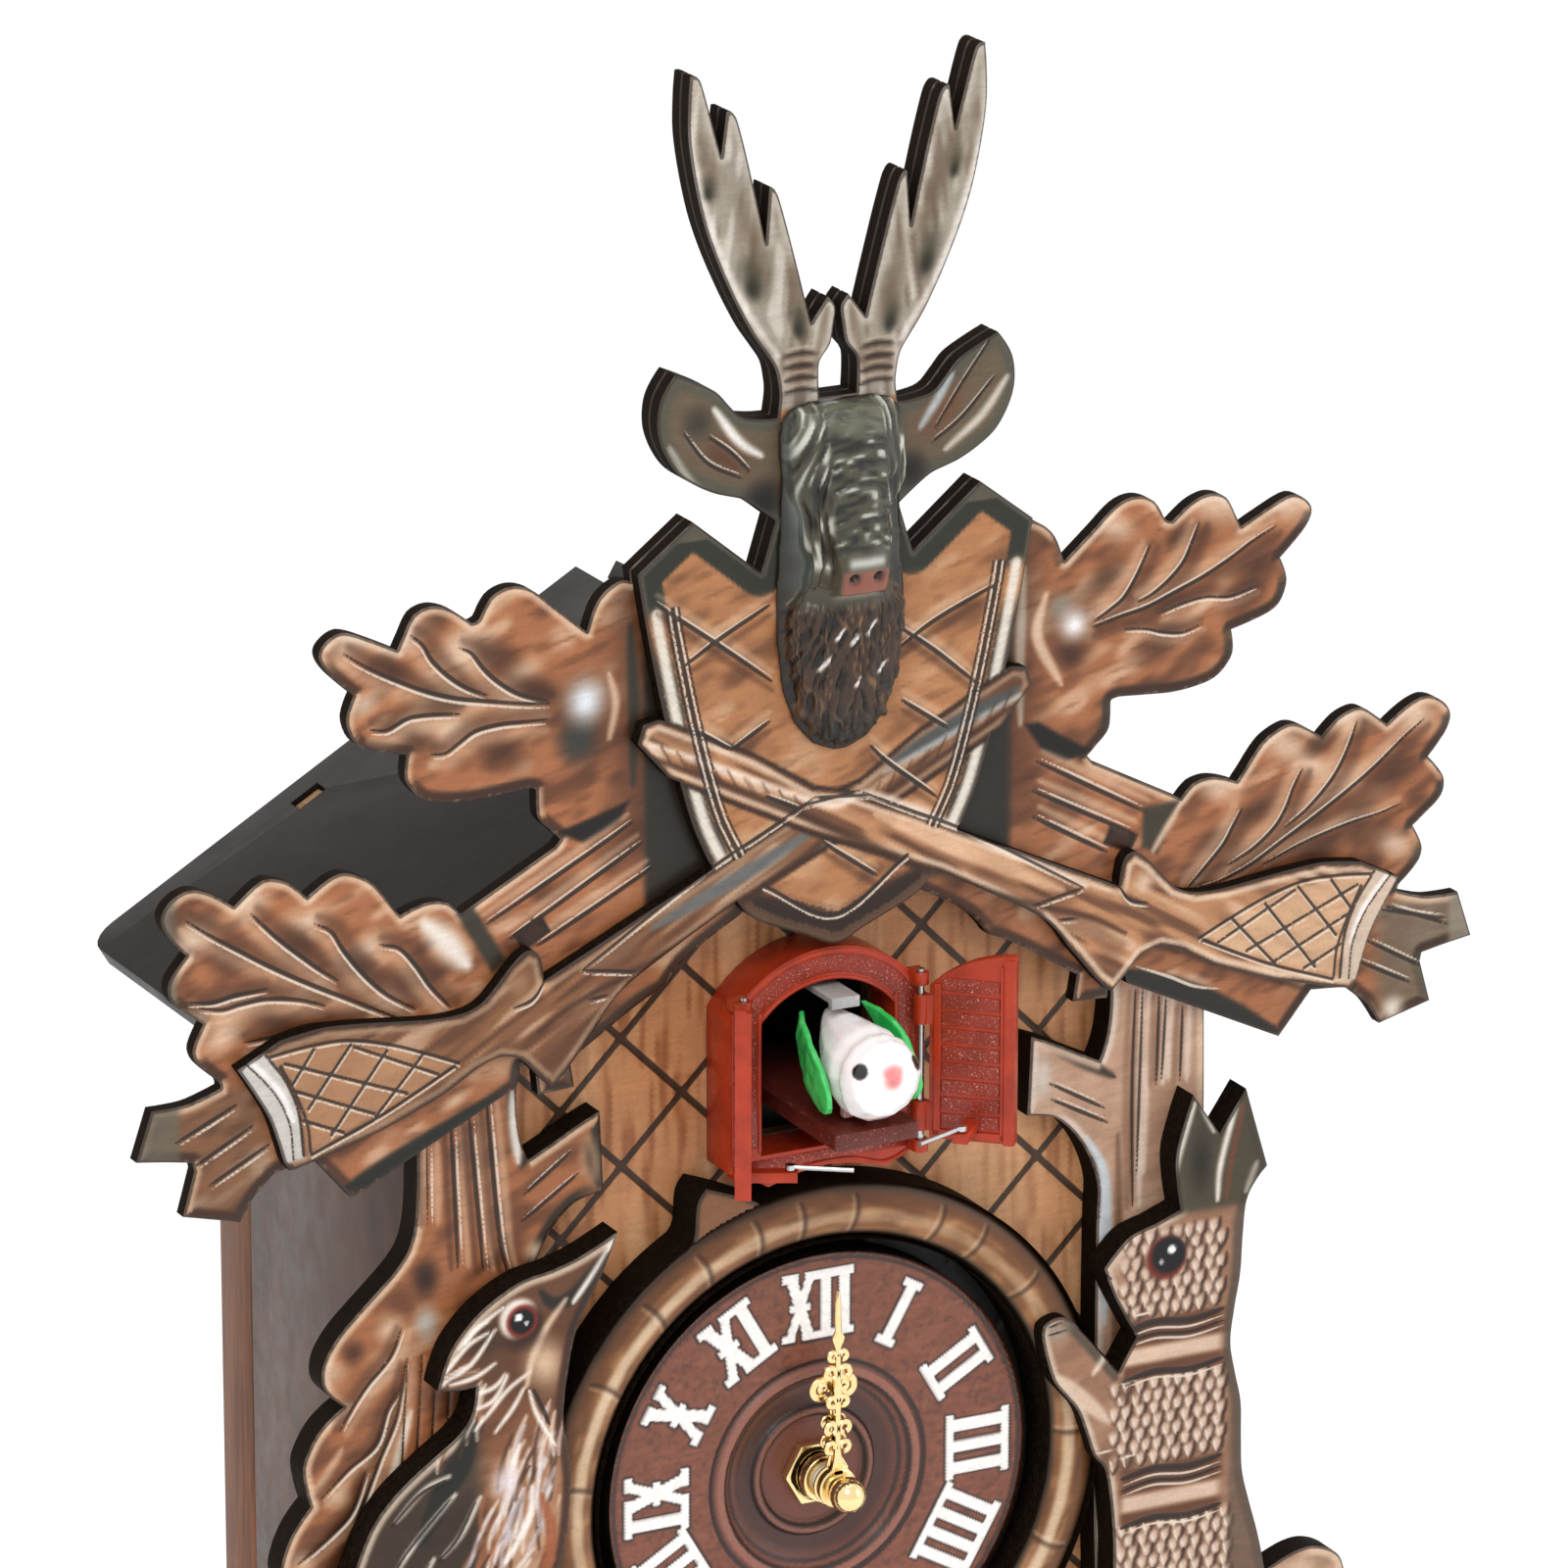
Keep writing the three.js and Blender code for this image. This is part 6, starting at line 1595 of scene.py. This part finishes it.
def box_piece(name, x0, x1, y0, y1, z0, z1, material, node, round_=0.25, turn=None):
    me = bpy.data.meshes.new(name)
    v = [(x, y, z) for x in (x0, x1) for y in (y0, y1) for z in (z0, z1)]
    f = [(0, 1, 3, 2), (4, 6, 7, 5), (0, 4, 5, 1), (2, 3, 7, 6), (0, 2, 6, 4), (1, 5, 7, 3)]
    v = np.array(v, float)
    if turn is not None:
        v = turn(v)
    me.from_pydata([tuple(q) for q in row(v)], [], f)
    ob = bpy.data.objects.new(name, me)
    bpy.context.scene.collection.objects.link(ob)
    if round_:
        b = ob.modifiers.new("bevel", "BEVEL")
        b.width = round_ / 1000
        b.segments = 3
        b.harden_normals = True
        me.shade_smooth()
        new = evaluated(ob, name)
        ob.modifiers.clear()
        ob.data = new
    ob.data.materials.clear()
    ob.data.materials.append(material)
    return goes_with(ob, node)


def arch_line(half, foot, radius, centre_z, n=40):
    top = [(radius * math.sin(t), centre_z + radius * math.cos(t))
           for t in np.linspace(-math.asin(min(1, half / radius)), math.asin(min(1, half / radius)), n)]
    return np.array([(-half, foot)] + top + [(half, foot)])


def strip_piece(name, line, width, y0, y1, material, node, crown=0.3):
    """A raised band that follows a line on the front of a part."""
    c = np.asarray(line, float)
    prof = [(-width / 2, y1), (-width / 2, y0 + crown), (-width / 2 + crown, y0 + 0.06), (0, y0),
            (width / 2 - crown, y0 + 0.06), (width / 2, y0 + crown), (width / 2, y1)]
    rings = []
    for o, y in prof:
        q = offset(c, o)
        rings.append(np.stack([q[:, 0], np.full(len(q), y), q[:, 1]], 1))
    n = len(c)
    verts = np.vstack(rings)
    faces = []
    m = len(prof)
    for j in range(m - 1):
        for i in range(n - 1):
            faces.append((j * n + i, j * n + i + 1, (j + 1) * n + i + 1, (j + 1) * n + i))
    for j in range(n - 1):
        faces.append((j, (m - 1) * n + j, (m - 1) * n + j + 1, j + 1))
    faces.append(tuple(j * n for j in range(m)))
    faces.append(tuple(j * n + n - 1 for j in range(m))[::-1])
    ob = mesh_object(name, verts, faces, material, True)
    return goes_with(ob, node)


softened("bird_frame", DOOR, 0.35, 3)
strip_piece("arch_band", curve(arch_line(17.2, 72, 21.6, 85.8), 1.0), 3.6, -3.62, -3.4, DOOR_IN, "bird_frame", 0.1)
strip_piece("arch_lip", curve(arch_line(20.3, 70, 24.1, 85.9), 1.0), 1.3, -3.78, -3.4, DOOR, "bird_frame", 0.2)
strip_piece("arch_inner_lip", curve(arch_line(14.9, 71, 19.1, 85.6), 1.0), 0.8, -3.78, -3.4, DOOR, "bird_frame", 0.2)
strip_piece("sill_band", [(-19.5, 68.4), (19.5, 68.4)], 2.2, -3.7, -3.4, DOOR_IN, "bird_frame", 0.15)
strip_piece("apron_lip", curve(pts("-19,67 -13,64.7 -6,66.5 0,67 6,66.5 13,64.7 19,67"), 1.0), 0.7, -3.9, -3.4, DOOR,
            "bird_frame", 0.2)
softened("door_left", DOOR, 0.3, 3)
softened("door_right", DOOR, 0.3, 3)


def open_door(side, degrees):
    """Turns a closed door's points about its hinge pin to where it stands open at rest."""
    a = math.radians(degrees)

    def turn(v):
        q = np.array(v, float)
        dx, dy = q[:, 0] - 19.4, q[:, 1] + 5.4
        q[:, 0] = 19.4 + dx * math.cos(a) - dy * math.sin(a)
        q[:, 1] = -5.4 + dx * math.sin(a) + dy * math.cos(a)
        if side < 0:
            q[:, 0] *= -1
        return q
    return turn


for side, name, degrees in ((1, "right", 138), (-1, "left", 117)):
    node = f"door_{name}"
    turn = open_door(side, degrees)
    for i in range(9):
        z0 = 72.2 + 3.5 * i
        box_piece(f"door_{name}_plank_{i}", 3.4, 15.0, -5.05, -4.6, z0, z0 + 2.7, DOOR_IN, node, 0.2, turn)
    box_piece(f"door_{name}_stile_in", 2.5, 3.3, -5.1, -4.3, 70.2, 106, DOOR, node, 0.2, turn)
    box_piece(f"door_{name}_stile_out", 15.2, 16.6, -5.1, -4.3, 70.2, 101.6, DOOR, node, 0.2, turn)
    box_piece(f"door_{name}_rail_low", 2.5, 16.6, -5.1, -4.3, 70.0, 71.6, DOOR, node, 0.2, turn)
    for i in range(9):
        z0 = 72.2 + 3.5 * i
        box_piece(f"door_{name}_slat_{i}", 2.0, 15.6, -7.28, -7.0, z0, z0 + 2.6, DOOR_IN, node, 0.1, turn)

softened("bird_platform", PLATFORM, 0.45, 3)


# ------------------------------------------------------------------ bird
def make_bird():
    ob = remeshed("bird_body", 0.35, "bird_form")
    co, no = arrays(ob)
    x, y, z = co.T
    inward = 0.9 * np.exp(-((y + 22.5) ** 2) / 5) * smooth(84, 88, z) + 0.5 * smooth(-24, -27, y) * smooth(93, 96, z)
    co = co - no * inward[:, None]
    front = np.clip(1 - smooth(-29.6, -31.2, co[:, 1]) * 0.80, 0.2, 1)
    co[:, 0] *= front
    co[:, 2] = 92.3 + (co[:, 2] - 92.3) * front
    reshape(ob, co, "bird_body")
    c = np.tile(np.array([250, 243, 243], float), (len(co), 1))
    beak = smooth(-30.4, -31.0, y)
    k = np.clip(beak, 0, 1)[:, None]
    c = c * (1 - k) + np.array([226, 130, 130]) * k
    feet = (smooth(83.4, 82.6, z) * (np.abs(x) < 5))[:, None]
    c = c * (1 - feet) + np.array([222, 168, 160]) * feet
    for s in (-1, 1):
        d = np.sqrt((x - s * 5.9) ** 2 + (y + 28.2) ** 2 + (z - 94.2) ** 2)
        e = smooth(1.9, 1.5, d)[:, None]
        c = c * (1 - e) + np.array([18, 16, 16]) * e
    colour_points(ob, c)
    m = Mat("bird_white")
    a = m.noise(m.place(), 700, 3, 0.5)
    ob.data.materials.append(m.done(m.attr("paint", "Color"), m.ramp(a, 0.3, 0.7, 0.2, 0.3), m.bump(a, 0.03, 0.00005),
                                    Coat_Weight=0.4, Coat_Roughness=0.08, Subsurface_Weight=0.1))
    ob.data.shade_smooth()
    stands_for(ob, "bird_body")


make_bird()


def hugging_wing(node, side):
    """A cupped wing that follows the side of the body."""
    ob = remeshed(node, 0.3, node + "_form")
    co, _ = arrays(ob)
    keep = np.interp(-co[:, 1], [4, 9, 15, 24], [6.4, 8.4, 9.3, 9.3])
    keep -= 0.9 * smooth(4, 9, np.abs(co[:, 2] - 91.5))
    outer = np.abs(co[:, 0]) - 9.2
    n = hash_noise(np.stack([co[:, 1] * 0.4 + co[:, 2] * 0.4, (co[:, 2] - co[:, 1]) * 0.5], 1) + 40, 1.0, 6)
    co[:, 0] = side * (keep + outer * (1.25 - 0.3 * n * (outer > 0.6)))
    ob.data.vertices.foreach_set("co", row(co).ravel())
    ob.data.update()
    ob.data.materials.append(GREEN)
    stands_for(ob, node)


GREEN = moulded("wing_green", srgb(40, 186, 84), 0.26, 0.35, 0.12, srgb(120, 226, 140), 500, 0.0, 0.4)
hugging_wing("wing_left", -1)
hugging_wing("wing_right", 1)


# ------------------------------------------------------------------ case, roof and back
ROOF = moulded("roof_print", srgb(26, 20, 17), 0.4, 0.5, 0.12, srgb(36, 28, 23), 260)
ROOF.node_tree.nodes["Principled BSDF"].inputs["Specular IOR Level"].default_value = 0.14
SIDE = wood_print("side_print", srgb(46, 26, 15), srgb(84, 52, 33), (500, 60, 42), 0.36, 0.12, 0.9)
STILE = wood_print("stile_print", srgb(78, 42, 20), srgb(118, 70, 38), (500, 500, 40), 0.42, 0.1, 0.8)
BACK = wood_print("back_board", srgb(112, 84, 58), srgb(156, 122, 86), (420, 400, 26), 0.7, 0.0, 0.7)
for node in ("roof_left", "roof_right"):
    softened(node, ROOF, 0.35, 3)
for node in ("side_left", "side_right", "bottom_board"):
    softened(node, SIDE, 0.3, 3)
for node in ("rear_stile_left", "rear_stile_right"):
    softened(node, STILE, 0.3, 3)
for node in ("back_panel", "hanger_batten", "foot_batten", "access_door"):
    softened(node, BACK, 0.25, 2)
softened("carving_backer", BURNT, 0.2, 2)

# ------------------------------------------------------------------ parts inside
KEPT = {
    "hanger_plate": STEEL, "access_hinge": STEEL, "minute_shaft": STEEL, "door_pin_left": STEEL,
    "door_pin_right": STEEL,
    "door_link_left": STEEL, "door_link_right": STEEL, "bird_motor": STEEL,
}
BLACKP = moulded("black_plastic", (0.016, 0.016, 0.017), 0.42, 0.4, 0.25, (0.05, 0.05, 0.05), 1600)
GREYP = moulded("grey_plastic", (0.36, 0.36, 0.35), 0.32, 0.3, 0.12, (0.6, 0.6, 0.6), 900)
WHITEP = moulded("white_plastic", (0.74, 0.72, 0.66), 0.36, 0.3, 0.1)
CIRCUIT = moulded("circuit_green", (0.02, 0.14, 0.05), 0.35, 0.5, 0.2, (0.05, 0.3, 0.1), 500)
COPPER = moulded("copper_wire", (0.72, 0.32, 0.16), 0.3, 0.5, 0.5, (0.9, 0.5, 0.3), 2400, 1.0)
CELL = moulded("cell_sleeve", (0.07, 0.08, 0.09), 0.3, 0.4, 0.08, (0.2, 0.22, 0.24), 400, 0.3)
KEPT.update({n: BLACKP for n in ("movement_case", "movement_cover", "battery_tray", "bird_housing",
                                 "pendulum_bracket", "speaker")})
KEPT.update({n: GREYP for n in ("tail_lever", "set_knob")})
KEPT.update({n: WHITEP for n in ("motion_wheel", "hour_wheel")})
KEPT.update({"control_board": CIRCUIT, "drive_coil": COPPER, "battery_front": CELL, "battery_rear": CELL})
for node, material in KEPT.items():
    NODES[node].data.materials.clear()
    NODES[node].data.materials.append(material)
for node in ("tail_lever", "set_knob", "movement_case", "movement_cover", "speaker", "hanger_plate"):
    softened(node, KEPT[node], 0.25, 2)

# ------------------------------------------------------------------ stage, light and camera
FLOOR_Z, FLOOR_REACH = -0.42, 6               # m; the clock hangs above a plain floor
WORLD_STRENGTH = 1.04
LENS_MM, SENSOR_MM, ROLL_DEG = 215.1, 36.0, 0.09
CAMERA_PLACE, CAMERA_AIM = (-0.7950, -1.6230, 0.5759), (-0.0079, -0.098, 0.0223)

floor_m = Mat("floor")
fn = floor_m.noise(floor_m.place(), 30, 2, 0.5)
floor_mat = floor_m.done(floor_m.mix(fn, (0.93, 0.93, 0.93), (0.95, 0.95, 0.95)), 0.7, floor_m.bump(fn, 0.02, 0.0002))
me = bpy.data.meshes.new("studio_floor")
me.from_pydata([(-FLOOR_REACH, -FLOOR_REACH, FLOOR_Z), (FLOOR_REACH, -FLOOR_REACH, FLOOR_Z),
                (FLOOR_REACH, FLOOR_REACH, FLOOR_Z), (-FLOOR_REACH, FLOOR_REACH, FLOOR_Z)], [], [(0, 1, 2, 3)])
me.materials.append(floor_mat)
floor = bpy.data.objects.new("studio_floor", me)
bpy.context.scene.collection.objects.link(floor)

world = bpy.data.worlds.new("studio")
bpy.context.scene.world = world
world.use_nodes = True
world.node_tree.nodes["Background"].inputs[0].default_value = (1, 1, 1, 1)
world.node_tree.nodes["Background"].inputs[1].default_value = WORLD_STRENGTH


def lamp(name, place, aim, size, power, color=(1, 1, 1)):
    d = bpy.data.lights.new(name, "AREA")
    d.shape = "RECTANGLE"
    d.size, d.size_y = size
    d.energy = power
    d.color = color
    ob = bpy.data.objects.new(name, d)
    bpy.context.scene.collection.objects.link(ob)
    ob.location = place
    ob.rotation_mode = "QUATERNION"
    ob.rotation_quaternion = (Vector(aim) - Vector(place)).to_track_quat("-Z", "Y")


CENTRE = (0, -0.09, 0.0)
lamp("key_light", (-0.9, -1.5, 1.5), CENTRE, (0.9, 0.9), 13)
lamp("fill_light", (1.4, -1.3, 0.5), CENTRE, (1.0, 1.2), 4)
lamp("top_light", (0.0, -0.2, 1.7), CENTRE, (1.2, 0.8), 5)

cam = bpy.data.cameras.new("camera")
cam.lens = LENS_MM
cam.sensor_width = SENSOR_MM
cam.clip_start = 0.1
camera = bpy.data.objects.new("camera", cam)
bpy.context.scene.collection.objects.link(camera)
camera.location = CAMERA_PLACE
aim = Vector(CAMERA_AIM)
q = (aim - camera.location).to_track_quat("-Z", "Y")
camera.rotation_mode = "QUATERNION"
camera.rotation_quaternion = (q.to_matrix() @ Matrix.Rotation(math.radians(ROLL_DEG), 3, "Z")).to_quaternion()
bpy.context.scene.camera = camera
bpy.context.scene.view_settings.view_transform = "Standard"
